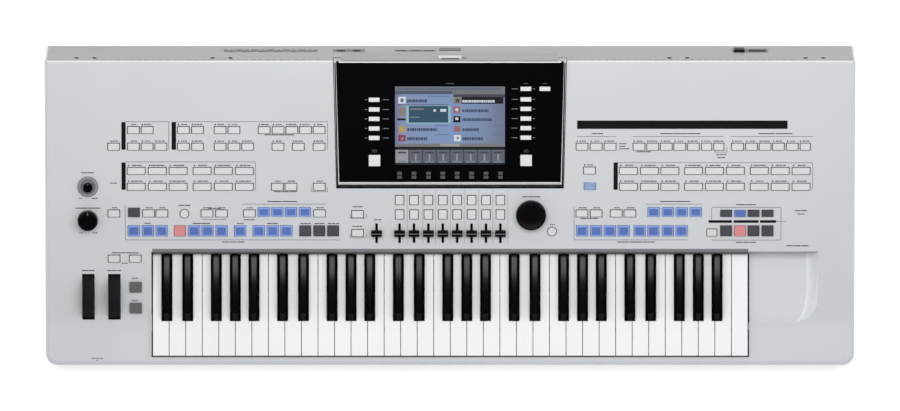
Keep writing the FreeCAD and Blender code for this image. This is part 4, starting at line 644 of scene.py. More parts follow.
def round_points(u, v, radius, sides, ribs, deep):
    """Points round a circle, drawn in between its ribs."""
    points = []
    for k in range(sides):
        turn = 2 * math.pi * k / sides
        reach = radius - deep * (0.5 - 0.5 * math.cos(ribs * turn))
        points.append((u + reach * math.cos(turn), v + reach * math.sin(turn)))
    return points


def round_plan(u, v, width, depth, radius, steps=5):
    """The outline of a rectangle with round corners."""
    points = []
    for corner, (a, b) in enumerate(((1, 1), (-1, 1), (-1, -1), (1, -1))):
        centre = (u + a * (width / 2 - radius), v + b * (depth / 2 - radius))
        for k in range(steps + 1):
            turn = math.pi / 2 * (corner + k / steps)
            points.append((centre[0] + radius * math.cos(turn), centre[1] + radius * math.sin(turn)))
    return points


def drawn_in(points, inset):
    """An outline drawn in towards its middle by about an inset."""
    mid_u = sum(p[0] for p in points) / len(points)
    mid_v = sum(p[1] for p in points) / len(points)
    half_u = max(abs(p[0] - mid_u) for p in points)
    half_v = max(abs(p[1] - mid_v) for p in points)
    return [(mid_u + (u - mid_u) * (1 - inset / half_u), mid_v + (v - mid_v) * (1 - inset / half_v))
            for u, v in points]


def placed(name, data):
    """A new object in the scene."""
    made = bpy.data.objects.new(name, data)
    bpy.context.scene.collection.objects.link(made)
    return made


def crisp_edges(piece, degrees):
    """Keeps edges sharper than an angle crisp."""
    piece.modifiers.new("crisp_edges", "EDGE_SPLIT").split_angle = math.radians(degrees)


def weld(piece):
    """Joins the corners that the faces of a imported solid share."""
    piece.modifiers.new("weld", "WELD").merge_threshold = 0.002 * MM


def dress(node, finish_name, bevel=0.0, segments=2):
    """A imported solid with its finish, and with its edges rounded where asked."""
    piece = NODES[node]
    piece.data.materials.clear()
    piece.data.materials.append(material(finish_name))
    if bevel:
        weld(piece)
        flat = piece.modifiers.new("flat_faces", "DECIMATE")
        flat.decimate_type = "DISSOLVE"
        flat.angle_limit = math.radians(1.0)
        edge = piece.modifiers.new("edge", "BEVEL")
        edge.width = bevel
        edge.segments = segments
        edge.limit_method = "ANGLE"
        edge.angle_limit = math.radians(40.0)
        edge.harden_normals = False
        crisp_edges(piece, 35.0)
    return piece


def dress_smooth(node, finish_name):
    """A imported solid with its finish, with smooth faces on its round parts and its edges kept crisp."""
    piece = dress(node, finish_name)
    piece.data.shade_smooth()
    weld(piece)
    crisp_edges(piece, 28.0)


# Where the panel's controls lie, by photograph column and row
SMALL_LEFT = (
    (129.6, (133.7, 147.5, 183.7, 197.8, 220.4, 234.2, 264.4, 278.3, 292.0, 305.6, 319.3)),
    (146.1, (113.9, 133.7, 147.4, 161.1, 183.7, 197.8, 220.4, 234.2, 247.9, 278.2, 298.5, 319.3)),
    (185.9, (277.5, 291.0, 319.3)),
    (212.4, (113.9, 148.5, 161.9, 207.0, 221.5, 249.4, 319.5)),
)
SMALL_RIGHT = (
    (146.1, (581.9, 596.0, 609.9, 638.8, 652.5, 666.1, 679.6, 693.1, 706.4, 718.6, 737.3, 751.2, 764.8,
             778.2, 792.0, 805.0)),
    (169.8, (589.4,)),
    (212.4, (581.9, 596.1, 616.2, 629.9)),
)
NARROW = ((706.4, 146.1), (718.6, 146.1), (805.0, 146.1), (711.9, 231.4))
SMALL_SINGLE = ((357.6, 212.1), (357.6, 231.4), (113.9, 257.4), (135.1, 257.4), (711.9, 231.4))
ROUND_BUTTONS = ((184.4, 212.7), (552.0, 229.8))
CHANNEL_ROWS = (197.7, 212.4)
SMALL_SIZE = mm(15.6, 9.2)
NARROW_SIZE = mm(0.85 * 15.6, 9.2)
WIDE_SIZE = mm(24.2, 9.2)
CHANNEL_SIZE = mm(11.2, 12.4)
CHEEK_PADS = ((135.5, 285.6), (135.5, 306.4))
WIDE_ROWS = (170.2, 185.9)
STYLE_COLUMNS = (136.4, 157.5, 178.3, 202.3, 223.5, 244.5)
VOICE_COLUMNS = (628.3, 649.3, 669.7, 693.5, 714.3, 735.2, 759.1, 780.0, 800.9)
PAD_ROW = 229.8
LOW_PAD_ROW = 211.0
BLUE_PADS = (133.7, 147.9, 161.7, 194.1, 207.5, 221.6, 240.2, 258.7, 272.7, 286.5)
LOW_BLUE_PADS = (263.8, 277.5, 291.0, 305.0)
MEMORY_PADS = (582.0, 596.1, 609.9, 623.6, 639.6, 653.4, 667.8, 681.6)
LOW_MEMORY_PADS = (653.5, 667.8, 681.6, 695.7)
PALE_PAD = (589.7, 185.4)
PART_PAD = (740.0, 212.4)
CHANNELS = tuple((i - 3.5) * CHANNEL_PITCH for i in range(8))
FADER_ROW = 231.6
FIRST_FADER = 376.6
FADERS = (any_u(FIRST_FADER),) + CHANNELS
GAIN_AT = (88.0, 185.9)
VOLUME_AT = (87.8, 218.9)
DIAL_AT = (531.0, 212.9)
BUTTON_TOP = 2.2 * MM
PAD_SIZE = mm(15.6, 14.6)
LOW_PAD_SIZE = mm(15.6, 12.4)
KEY_NAMES = ("c", "d", "e", "f", "g", "a", "b")
SHARP_NAMES = ("c_sharp", "d_sharp", "f_sharp", "g_sharp", "a_sharp")


def pairs(rows):
    """Columns and rows of places that are listed row by row."""
    return tuple((x, y) for y, columns in rows for x in columns)


SMALL_PLACES = pairs(SMALL_LEFT + SMALL_RIGHT)
WIDE_PLACES = pairs((y, STYLE_COLUMNS + VOICE_COLUMNS) for y in WIDE_ROWS)


class KEYBOARD_OT_case(bpy.types.Operator):
    """Finishes the shell, the floor tray, the rear panel and the feet"""
    bl_idname = "keyboard.case"
    bl_label = "Case"

    SOLIDS = (
        ("top_panel", "panel"), ("rear_panel", "rear"), ("display_cover", "cover"),
        ("lower_case", "charcoal"), ("rubber_feet", "rubber"), ("case_screws", "metal"),
        ("gain_dish", "dish"),
    )
    # The tray's sweep: row, column of its upper edge, column of its foot
    TRAY_SWEEP = (
        (250.8, 818.4, 806.0), (258.0, 818.4, 806.2), (266.0, 818.2, 806.6), (274.0, 817.9, 806.8),
        (282.0, 817.4, 806.8), (290.0, 816.0, 806.5), (297.0, 814.4, 806.0), (303.0, 812.6, 805.2),
        (308.0, 810.5, 804.0), (313.0, 808.0, 802.3), (317.0, 805.0, 800.3), (320.0, 802.0, 798.5),
        (321.8, 798.0, 796.5),
    )
    SWEEP_STEPS = 8
    # The painted highlight on the rear edge: how far from the middle it starts and ends, and how far before the
    # panel's end
    HIGHLIGHT_ENDS = mm(166.0, 566.0)
    HIGHLIGHT_SIDES = mm(1.7, 0.1)
    BRACKETS = (85.9, 221.9, 678.3, 814.2)
    BRACKET_HALF = 12.5 * MM
    BRACKET_DROP = 22.0 * MM
    PLATE_RISE = 25.0 * MM

    def execute(self, context):
        for node, tint in self.SOLIDS:
            dress_smooth(node, tint)
        dress("display_hinges", "black")
        self.tray_wall()
        self.rear_edge()
        self.rear_marks()
        return {"FINISHED"}

    def tray_wall(self):
        """The tray's right wall, which sweeps down to the floor in a hollow curve."""
        floor = DECK_Z - TRAY_DROP
        wall_play, lip_play, top_play = mm(0.05, 0.15, 0.03)
        sections = []
        for row, lip, foot in self.TRAY_SWEEP:
            y = deck_y(row)
            past = max(0.0, DECK_Y + TRAY_ROUND - y)
            reach = math.sqrt(max(0.0, TRAY_ROUND ** 2 - past ** 2))
            wall = TRAY_RIGHT - TRAY_ROUND + reach - wall_play
            edge, inner = min(any_u(lip), wall - lip_play), any_u(foot)
            top = slope_z(y) - top_play
            section = [(wall, y, floor), (wall, y, top)]
            for k in range(self.SWEEP_STEPS + 1):
                share = k / self.SWEEP_STEPS
                section.append((edge + (inner - edge) * share, y, floor + (top - floor) * (1 - share) ** 2))
            sections.append(section)
        # The wall's lighter silver is painted light
        Shapes(Matrix()).loft(sections).made("tray_wall", "tray", "case", "case_silver", 35)

    def rear_edge(self):
        """A painted highlight along the edge where the top meets the back, beside the display."""
        line = Shapes()
        near, far = self.HIGHLIGHT_ENDS
        v_0, v_1 = (PANEL_LENGTH - side for side in self.HIGHLIGHT_SIDES)
        for u_0, u_1 in ((-far, -near), (near, far)):
            line.bar(u_0, u_1, v_0, v_1, -SUNK, form().print_rise)
        line.made("rear_edge_line", "lip", "case", "case_silver")

    def rear_marks(self):
        """Painted shade round the bracket holes, and the plate at the middle of the back."""
        rims = Shapes(REAR)
        v = REAR_LENGTH - self.BRACKET_DROP
        for px in self.BRACKETS:
            for side in (-1, 1):
                u = -any_u(px) + side * self.BRACKET_HALF
                rims.washer(u, v, *mm(2.1, 3.1), *mm(-0.5, 0.2), sides=32)
        rims.made("bracket_rims", "ink")
        plate = Shapes(REAR).rounded(0.0, self.PLATE_RISE, *mm(30.0, 17.0, 2.0), *mm(-0.8, 0.2))
        plate.made("rear_plate", "socket")


class KEYBOARD_OT_keys(bpy.types.Operator):
    """Finishes the white keys, the sharps and what they swing on"""
    bl_idname = "keyboard.keys"
    bl_label = "Keys"

    # The felt's outline across the slot, in millimetres behind and above the panel's front edge
    FELT_SIDE = (
        (4.0, 0.9), (0.2, 0.15), (-1.2, -0.6), (-2.6, -3.4), (-3.6, -8.2), (-3.6, -10.2), (-2.2, -10.4),
        (-0.3, -4.0), (-0.25, -0.15), (4.0, 0.72),
    )

    def execute(self, context):
        for name in KEY_NAMES:
            dress(f"key_{name}", "white_key", form().key_round)
        for name in SHARP_NAMES:
            dress(f"key_{name}", name, form().key_round, 3)
        dress("key_chassis", "metal")
        dress_smooth("key_pivot_rod", "metal")
        dress("key_contact_board", "board")
        dress("key_felts", "felt")
        self.slot_felt()
        self.slot_gap_shades()
        return {"FINISHED"}

    def slot_felt(self):
        """The felt that closes the slot over the keys' rear ends, rolled over the panel's edge."""
        low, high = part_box("key_c")
        past = 0.6 * MM
        rise = slope_z(PANEL_FRONT_Y)
        ends = [[(x, PANEL_FRONT_Y + y * MM, rise + z * MM) for y, z in self.FELT_SIDE]
                for x in (low[0] - past, high[0] + past)]
        # Its finish paints shade on the felt's front edge
        Shapes(Matrix()).loft(ends).made("slot_felt", "slot_felt", "case", "felt", 50)

    def slot_gap_shades(self):
        """Painted shade in the gap round the keys' slot, at its two ends and along its front."""
        low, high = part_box("key_c")
        gap, wide, front_wide, tray_wide, rise = mm(1.0, 1.0, 0.7, 1.4, 0.15)
        front = low[1] - gap
        left, right = low[0] - gap, high[0] + gap
        deck = Shapes(DECK)
        for x_0, x_1 in ((left - wide, left), (right, right + wide)):
            deck.bar(x_0, x_1, front - wide, DECK_Y, -SUNK, rise)
        deck.bar(left, right, front - front_wide, front, -SUNK, rise)
        tray_front, tray_rear = DECK_Y + 0.3 * MM, PANEL_FRONT_Y - 4.0 * MM
        deck.bar(right, right + tray_wide, tray_front, tray_rear, -TRAY_DROP, rise - TRAY_DROP)
        deck.made("slot_edge_deck", "ink")
        slope = Shapes().bar(left - wide, left, 0.0, BANK_START, -SUNK, rise)
        slope.made("slot_edge_slope", "ink")


class KEYBOARD_OT_buttons(bpy.types.Operator):
    """Finishes the buttons and pads, and gives each lit pad its darker middle"""
    bl_idname = "keyboard.buttons"
    bl_label = "Buttons and pads"

    SOLIDS = (
        ("left_small_buttons", "button"), ("right_small_buttons", "button"), ("style_buttons", "button"),
        ("voice_buttons", "button"), ("channel_buttons", "button"), ("style_pads", "blue"),
        ("memory_pads", "blue"), ("grey_pads", "grey"), ("red_pads", "red"),
    )
    MIDDLE_INSET = 3.4 * MM
    MIDDLE_RISE = 0.15 * MM
    ROUND_RADIUS = 5.8 * MM
    PLAY = 0.6 * MM

    def execute(self, context):
        for node, tint in self.SOLIDS:
            dress(node, tint, form().button_round)
        self.pad_middles("style_pad_middles", "style_pads", BLUE_PADS, LOW_BLUE_PADS)
        self.pad_middles("memory_pad_middles", "memory_pads", MEMORY_PADS, LOW_MEMORY_PADS)
        self.single_caps()
        self.rims()
        self.slot_shades()
        return {"FINISHED"}

    def pad_middles(self, name, body, columns, low_columns):
        """Darker plates let into the tops of a bank's blue pads."""
        middles = Shapes()
        rows = ((PAD_ROW, columns, PAD_SIZE), (LOW_PAD_ROW, low_columns, LOW_PAD_SIZE))
        for row, row_columns, size in rows:
            width, depth = (side - self.MIDDLE_INSET for side in size)
            for px in row_columns:
                middles.rounded(*on_bank(px, row), width, depth, 1.5 * MM,
                                BUTTON_TOP - SUNK, BUTTON_TOP + self.MIDDLE_RISE)
        middles.made(name, "blue_core", body, "blue_pad")

    def single_caps(self):
        """The paler lit button above the memory pads, a part pad's middle and the two grey cheek pads."""
        low = BUTTON_TOP - SUNK
        pale = Shapes().rounded(*on_bank(*PALE_PAD), *mm(14.2, 7.8, 1.0), low, BUTTON_TOP + 0.2 * MM)
        pale.made("pale_pad_cap", "pale_blue", "memory_pads", "blue_pad")
        part = Shapes().rounded(*on_bank(*PART_PAD), *mm(14.0, 9.0, 1.2), low, BUTTON_TOP + self.MIDDLE_RISE)
        part.made("part_pad_middle", "blue_core", "memory_pads", "blue_pad")
        cheek = Shapes()
        for place in CHEEK_PADS:
            cheek.rounded(*on_bank(*place), *mm(17.4, 15.4, 1.4), low - SUNK, BUTTON_TOP + 0.3 * MM,
                          *mm(0.5, 0.3))
        cheek.made("cheek_pad_caps", "mid_grey", "grey_pads", "grey_pad")

    def rims(self):
        """Painted shade round each light button's hole, where the gap goes dark."""
        rims = Shapes()
        low, rise, wide = -2 * SUNK, form().print_rise, form().gap_shade_width
        places = [(*on_panel(x, y), NARROW_SIZE if (x, y) in NARROW else SMALL_SIZE)
                  for x, y in SMALL_PLACES + SMALL_SINGLE]
        places += [(*on_bank(x, y), WIDE_SIZE) for x, y in WIDE_PLACES]
        places += [(u, middle_v(y), CHANNEL_SIZE) for y in CHANNEL_ROWS for u in CHANNELS]
        for u, v, (width, depth) in places:
            rims.rim(u, v, width + 2 * self.PLAY, depth + 2 * self.PLAY, 0.2 * MM, wide, low, rise)
        inner = self.ROUND_RADIUS + self.PLAY
        for x, y in ROUND_BUTTONS:
            rims.washer(*on_panel(x, y), inner, inner + wide, low, rise)
        rims.made("button_rims", "rim")

    def slot_shades(self):
        """Painted shade round each fader's slot, where the slot goes dark."""
        slots = Shapes()
        for u in FADERS:
            slots.rim(u, middle_v(FADER_ROW), *mm(2.6, 27.0, 0.1, 0.5), -2 * SUNK, form().print_rise)
        slots.made("fader_slot_rims", "ink")


class KEYBOARD_OT_prints(bpy.types.Operator):
    """Prints the panel: bars, section lines, lamps and the dashes that stand for lettering"""
    bl_idname = "keyboard.prints"
    bl_label = "Panel prints"

    # Bars: first column, last column, rear row, front row
    BARS = (
        (121.7, 126.0, 121.6, 149.2), (171.9, 176.3, 121.6, 149.2), (121.7, 125.9, 161.8, 189.0),
        (613.4, 617.7, 161.8, 189.0), (576.9, 787.2, 120.2, 128.5), (708.4, 732.0, 219.2, 221.8),
        (733.6, 758.6, 219.2, 221.8), (760.0, 776.2, 219.2, 221.8),
    )
    # Section lines: column and row of each corner
    LINES = (
        ((126.0, 121.3), (169.0, 121.3), (169.0, 149.0)), ((176.0, 121.3), (327.7, 121.3), (327.7, 149.0)),
        ((126.0, 161.2), (254.6, 161.2), (255.6, 162.2), (255.6, 189.0)),
        ((125.2, 204.0), (125.2, 237.6), (126.4, 238.8), (340.0, 238.8)), ((242.6, 203.2), (326.0, 203.2)),
        ((577.0, 136.0), (616.0, 136.0)), ((633.0, 136.0), (723.0, 136.0)),
        ((731.0, 136.0), (812.7, 136.0)), ((617.7, 162.0), (811.5, 162.0), (812.5, 163.0), (812.5, 189.0)),
        ((574.0, 206.0), (574.0, 237.6), (575.2, 238.8), (688.0, 238.8)), ((646.6, 203.2), (702.2, 203.2)),
        ((711.6, 219.0), (711.6, 207.6), (712.8, 206.4), (779.8, 206.4), (781.0, 207.6), (781.0, 237.8),
         (779.8, 239.0), (712.8, 239.0), (711.6, 238.4)),
        ((776.8, 220.5), (785.6, 220.5)),
        ((350.2, 213.4), (350.2, 217.2), (365.0, 217.2), (366.6, 215.6), (366.6, 213.4)),
        ((350.2, 233.0), (350.2, 236.8), (365.0, 236.8), (366.6, 235.2), (366.6, 233.0)),
        ((311.2, 186.6), (311.2, 190.8), (327.4, 190.8), (327.4, 186.6)),
        ((203.0, 217.6), (203.0, 218.6), (225.4, 218.6), (225.4, 217.6)),
        ((714.6, 147.0), (714.6, 151.6), (726.6, 151.6), (726.6, 147.0)),
    )
    CHANNEL_LINES = (407.3, 422.6, 435.6, 450.4, 464.2, 478.5, 492.7, 507.9)
    CHANNEL_ENDS = (187.8, 242.9)
    HAIR_SHARE = 0.45
    # Rows of plain dashes: first column, last column, row
    LEGENDS = (
        (81.0, 94.0, 172.1), (78.8, 82.3, 197.5), (92.0, 97.5, 197.5), (110.0, 117.0, 182.3),
        (75.5, 100.0, 207.2), (79.0, 82.7, 231.9), (92.7, 97.3, 231.9), (221.8, 244.5, 240.9),
        (267.2, 297.2, 200.6), (144.5, 151.0, 222.4), (192.7, 210.0, 222.4), (237.0, 243.6, 222.4),
        (267.0, 278.0, 222.4), (300.5, 311.0, 222.6), (314.5, 324.5, 222.6), (328.0, 339.5, 222.6),
        (81.5, 94.5, 269.3), (107.0, 121.0, 269.3), (111.8, 138.2, 251.7), (121.5, 127.5, 262.0),
        (131.5, 137.5, 276.9), (131.5, 137.5, 299.0), (178.5, 190.5, 204.4), (208.0, 221.0, 207.4),
        (660.0, 690.0, 200.6), (617.0, 655.0, 240.9), (736.0, 756.0, 203.8), (736.0, 756.0, 241.2),
        (795.0, 807.0, 209.7), (786.5, 808.5, 244.6), (591.5, 603.0, 133.2), (660.0, 700.0, 133.2),
        (758.0, 792.0, 133.2), (522.0, 540.0, 194.4), (352.5, 362.5, 204.6), (352.5, 362.5, 224.6),
        (374.0, 381.5, 218.0), (550.0, 554.6, 222.8), (636.0, 651.0, 151.2), (716.0, 726.0, 154.0),
        (717.0, 725.0, 157.0), (619.0, 626.0, 143.2), (619.0, 625.0, 145.8), (619.0, 629.0, 148.2),
        (265.0, 294.0, 134.4), (274.0, 297.0, 190.8), (244.0, 254.6, 218.8), (580.5, 598.0, 217.4),
        (797.5, 804.5, 213.0),
    )
    # Columns of buttons that have no lamp
    UNLIT = (113.9, 133.7)
    LAMP_SIZE = 1.7 * MM
    # How far a lamp and a legend lie behind the middle of their button
    BEHIND = 8.0 * MM
    # Marks behind the phones jack: name, finish, row, width, and a number that picks how it is broken
    FRONT_MARKS = (
        ("print_front_dashes", "line", 358.4, 17.0 * MM, 1), ("print_front_mark", "ink", 360.6, 2.4 * MM, 0),
    )
    FRONT_COLUMN = 97.0
    WELL_HIGHLIGHT_COLUMNS = ((81.6, 94.6), (107.8, 120.4))
    WELL_HIGHLIGHT_ROWS = (321.2, 319.0)

    def execute(self, context):
        rise = form().print_rise
        self.bars(rise)
        self.lamps(rise)
        self.lines(rise)
        self.legends(rise)
        self.front_marks(rise)
        # Painted highlights along the wheel wells' front edges
        well_highlights = Shapes()
        v_0, v_1 = (bank_v(row) for row in self.WELL_HIGHLIGHT_ROWS)
        for x_0, x_1 in self.WELL_HIGHLIGHT_COLUMNS:
            well_highlights.bar(any_u(x_0), any_u(x_1), v_0, v_1, 0.0, 2 * rise)
        well_highlights.made("wheel_well_lips", "lip", "case", "case_silver")
        return {"FINISHED"}

    def bars(self, rise):
        """Solid dark bars."""
        bars = Shapes()
        for x_0, x_1, y_0, y_1 in self.BARS:
            (u_0, v_1), (u_1, v_0) = on_bank(x_0, y_0), on_bank(x_1, y_1)
            bars.rounded((u_0 + u_1) / 2, (v_0 + v_1) / 2, u_1 - u_0, v_1 - v_0, 1.0 * MM, 0.0, rise)
        bars.made("print_bars", "ink")

    def lamps(self, rise):
        """Small lamps at the upper left of the buttons."""
        lamps = Shapes()
        small, wide = mm(17.0, 25.0)
        lit_rows = pairs(SMALL_LEFT[:2] + SMALL_RIGHT[:2])
        places = [(*on_bank(x, y), small) for x, y in lit_rows if x not in self.UNLIT]
        places += [(*on_bank(x, y), wide) for x, y in WIDE_PLACES]
        size = self.LAMP_SIZE
        for u, v, width in places:
            lamps.rounded(u - width / 2 + size, v + self.BEHIND, size, size, 0.35 * MM, 0.0, 2.5 * rise)
        lamps.made("lamps", "ink")

    def lines(self, rise):
        """Section lines round the groups of buttons, and hairlines between the channels."""
        lines = Shapes()
        wide = form().line_width
        for points in self.LINES:
            lines.wire([on_bank(x, y) for x, y in points], wide, 0.0, rise)
        lines.made("print_lines", "line")
        hairs = Shapes()
        for x in self.CHANNEL_LINES:
            ends = [(any_u(x), middle_v(y)) for y in self.CHANNEL_ENDS]
            hairs.wire(ends, wide * self.HAIR_SHARE, 0.0, rise)
        hairs.made("print_hairlines", "line")

    def legends(self, rise):
        """Short broken dashes over the buttons and beside the groups."""
        dashes = Shapes()
        small, wide, aside = mm(13.0, 21.0, 0.8)
        places = [(*on_panel(x, y), small) for x, y in SMALL_PLACES]
        places += [(*on_bank(x, y), wide) for x, y in WIDE_PLACES]
        for index, (u, v, width) in enumerate(places):
            share = 0.5 + 0.4 * scattered(index)
            broken_dash(dashes, u + aside, v + self.BEHIND, width * share, rise, index)
        for index, (x_0, x_1, y) in enumerate(self.LEGENDS):
            (u_0, v), u_1 = on_panel(x_0, y), any_u(x_1)
            broken_dash(dashes, (u_0 + u_1) / 2, v, u_1 - u_0, rise, index)
        dashes.made("print_legends", "legend")

    def front_marks(self, rise):
        """The phones jack's two marks on the deck."""
        for name, tint, row, width, index in self.FRONT_MARKS:
            mark = Shapes(DECK)
            broken_dash(mark, any_u(self.FRONT_COLUMN), deck_y(row), width, rise, index)
            mark.made(name, tint)


def scattered(index):
    """A share from nought to one that differs widely from one index to the next."""
    return index * 0.618 % 1.0


def broken_dash(shapes, u, v, width, rise, index):
    """One dash in two or three runs, so that a row of them reads as plain marks."""
    gap, shortest = mm(0.7, 0.4)
    runs = 2 + index % 2
    run = (width - gap * (runs - 1)) / runs
    if run <= shortest:
        runs, run = 1, width
    for k in range(runs):
        middle = u - width / 2 + k * (run + gap) + run / 2
        shapes.plate(middle, v, run, form().legend_height, 0.0, rise)


class KEYBOARD_OT_display(bpy.types.Operator):
    """Finishes the tilting display, lights its screen and prints its bezel"""
    bl_idname = "keyboard.display"
    bl_label = "Display"

    # The screen's size, the row of its middle, the heights of its field and the thickness of a layer
    WIDE, TALL = mm(154.6, 111.1)
    MIDDLE_ROW = 125.25
    FIELD_LOW, FIELD_TOP, LAYER = mm(-1.9, 0.6, 0.06)
    # Lit areas in shares of the screen from its upper left: tint, left, top, right, bottom, layer
    AREAS = (
        ("title", 0.0, 0.0, 1.0, 0.055, 1), ("title_low", 0.0, 0.055, 0.52, 0.1, 1),
        ("title", 0.52, 0.055, 1.0, 0.1, 1), ("row_dark", 0.53, 0.1, 1.0, 0.135, 1),
        ("row_black", 0.605, 0.135, 0.985, 0.222, 1), ("card_edge", 0.105, 0.245, 0.505, 0.478, 1),
        ("card", 0.125, 0.25, 0.484, 0.465, 2), ("band", 0.0, 0.735, 1.0, 0.776, 1),
        ("band_light", 0.41, 0.738, 0.59, 0.772, 2), ("strip", 0.0, 0.776, 1.0, 0.815, 1),
        ("segment_light", 0.005, 0.815, 0.12, 0.985, 1), ("strip", 0.0, 0.985, 1.0, 1.0, 1),
        ("row_dark", 0.0, 0.815, 1.0, 0.985, 0.5), ("white", 0.03, 0.132, 0.097, 0.22, 2),
        ("tan", 0.53, 0.135, 0.603, 0.22, 2), ("tan", 0.034, 0.272, 0.096, 0.385, 2),
        ("row_black", 0.02, 0.41, 0.097, 0.436, 2), ("ochre", 0.034, 0.508, 0.095, 0.592, 2),
        ("red_tile", 0.03, 0.625, 0.096, 0.706, 2), ("pink_tile", 0.531, 0.256, 0.594, 0.34, 2),
        ("row_black", 0.531, 0.382, 0.595, 0.462, 2), ("pink_tile", 0.538, 0.508, 0.594, 0.582, 2),
        ("white", 0.536, 0.625, 0.598, 0.706, 2), ("white", 0.35, 0.294, 0.372, 0.324, 3),
        ("white", 0.412, 0.29, 0.466, 0.324, 3), ("white", 0.548, 0.4, 0.576, 0.43, 3),
        ("tan", 0.05, 0.65, 0.08, 0.69, 3), ("white", 0.55, 0.28, 0.575, 0.315, 3),
        ("segment", 0.05, 0.155, 0.078, 0.2, 3), ("row_dark", 0.552, 0.155, 0.585, 0.205, 3),
        ("tan", 0.56, 0.648, 0.58, 0.68, 3),
    )
    # Rows of dashes that stand for words: tint, left, right, middle height, thickness
    WORDS = (
        ("word", 0.108, 0.29, 0.185, 0.04), ("word", 0.11, 0.385, 0.555, 0.038),
        ("word", 0.11, 0.3, 0.673, 0.04), ("white", 0.612, 0.913, 0.19, 0.03),
        ("word", 0.612, 0.85, 0.312, 0.036), ("word", 0.612, 0.88, 0.427, 0.036),
        ("word", 0.612, 0.762, 0.556, 0.036), ("word", 0.612, 0.803, 0.673, 0.04),
        ("segment_line", 0.142, 0.262, 0.29, 0.022), ("segment_line", 0.142, 0.228, 0.395, 0.016),
        ("row_dark", 0.03, 0.49, 0.236, 0.01), ("title_low", 0.02, 0.96, 0.03, 0.018),
        ("caption", 0.3, 0.49, 0.125, 0.014), ("caption", 0.89, 0.985, 0.265, 0.012),
        ("caption", 0.89, 0.985, 0.384, 0.012), ("caption", 0.36, 0.49, 0.5, 0.012),
        ("caption", 0.89, 0.985, 0.502, 0.012), ("caption", 0.36, 0.49, 0.622, 0.012),
        ("caption", 0.89, 0.985, 0.62, 0.012),
    )
    WORD_LAYERS = 4
    # The row of segments: how many, then left, top, right and bottom of the first
    SEGMENTS = 8
    SEGMENT = (0.006, 0.815, 0.119, 0.985)
    # Marks on every segment, in shares from the segment's own left: tint, left, top, right, bottom
    SEGMENT_MARKS = (
        ("segment_light", 0.057, 0.87, 0.07, 0.955), ("row_dark", 0.025, 0.84, 0.1, 0.862),
        ("segment_line", 0.025, 0.962, 0.1, 0.98),
    )
    # Ticks beside the screen's keys: rows, then first and last column of each run
    TICKS = (
        ((99.6, 109.3, 118.7, 128.3, 137.7), ((383.0, 389.0), (364.9, 367.4))),
        ((88.7, 99.2, 108.7, 118.4, 127.9, 137.4), ((511.5, 517.5), (532.4, 534.9))),
    )
    UNDER_ROWS = (173.0, 176.9)
    # Small marks on the bezel: column, row, width in millimetres
    MARKS = (
        (450.0, 83.4, 12.0), (374.6, 151.6, 7.0), (526.0, 151.6, 7.0), (374.6, 149.8, 8.0),
        (526.0, 149.8, 5.0), (544.7, 83.4, 6.0), (525.7, 83.4, 6.0),
    )
    MARK_TALL = 0.9 * MM
    BEAD_HALF = DISPLAY_HALF - 5.0 * MM

    def execute(self, context):
        round_off = 0.5 * MM
        dress("display_bezel", "glass")
        dress("display_trim", "chrome", round_off)
        dress("lcd_module", "ink")
        dress("display_keys", "screen_key", round_off)
        dress("lock_lever", "button", round_off)
        self.screen()
        self.marks(DISPLAY_FACE + form().print_rise)
        self.trim_lines()
        self.lever_line()
        return {"FINISHED"}

    def place(self, across, down):
        """A point of the screen from its shares."""
        return (across - 0.5) * self.WIDE, screen_v(self.MIDDLE_ROW) + (0.5 - down) * self.TALL

    def area(self, shapes, left, top, right, bottom, low, high):
        """A plain area of the screen between shares of its width and height."""
        (u_0, v_1), (u_1, v_0) = self.place(left, top), self.place(right, bottom)
        return shapes.bar(u_0, u_1, v_0, v_1, low, high)

    def screen(self):
        """The lit screen: a field, areas and dashes in thin layers."""
        top, step = self.FIELD_TOP, self.LAYER
        field = self.area(Shapes(), 0, 0, 1, 1, self.FIELD_LOW, top)
        field.made("screen_field", "screen_field", "display", "screen")
        layers = defaultdict(Shapes)
        for tint, *sides, layer in self.AREAS:
            self.area(layers[tint], *sides, top - step, top + layer * step)
        for index, (tint, left, right, height, thick) in enumerate(self.WORDS):
            self.words(layers[tint], left, right, height, thick * self.TALL, index)
        left, up, right, down = self.SEGMENT
        for k in range(self.SEGMENTS):
            at = k / self.SEGMENTS
            if k:
                self.area(layers["segment"], at + left, up, at + right, down, top - step, top + step)
            for tint, first, high, last, low in self.SEGMENT_MARKS:
                self.area(layers[tint], at + first, high, at + last, low, top, top + 2 * step)
        for tint, shapes in layers.items():
            shapes.made(f"screen_{tint}_areas", tint, "display", "screen")

    def words(self, shapes, left, right, height, thick, index):
        """A broken run of short bars on the screen."""
        (at, v), (last, _) = self.place(left, height), self.place(right, height)
        shortest, gap = mm(0.8, 0.55)
        top = self.FIELD_TOP
        while at < last - shortest:
            end = min(at + (1.6 + 2.2 * scattered(index)) * MM, last)
            shapes.bar(at, end, v - thick / 2, v + thick / 2, top, top + self.WORD_LAYERS * self.LAYER)
            at = end + gap
            index += 1

    def marks(self, high):
        """Ticks that lead from the keys to the screen, and small marks round it."""
        ticks = Shapes()
        for rows, runs in self.TICKS:
            for v in map(screen_v, rows):
                for x_0, x_1 in runs:
                    u_0, u_1 = any_u(x_0), any_u(x_1)
                    ticks.plate((u_0 + u_1) / 2, v, u_1 - u_0, self.MARK_TALL, DISPLAY_FACE, high)
        ticks.made("bezel_ticks", "line", "display", "white_button")
        marks = Shapes()
        for u in CHANNELS:
            for v in map(screen_v, self.UNDER_ROWS):
                marks.rounded(u, v, *mm(6.6, 4.4, 0.8), DISPLAY_FACE, high)
        for x, y, wide in self.MARKS:
            marks.plate(any_u(x), screen_v(y), wide * MM, self.MARK_TALL, DISPLAY_FACE, high)
        marks.made("bezel_marks", "dim_mark", "display", "white_button")

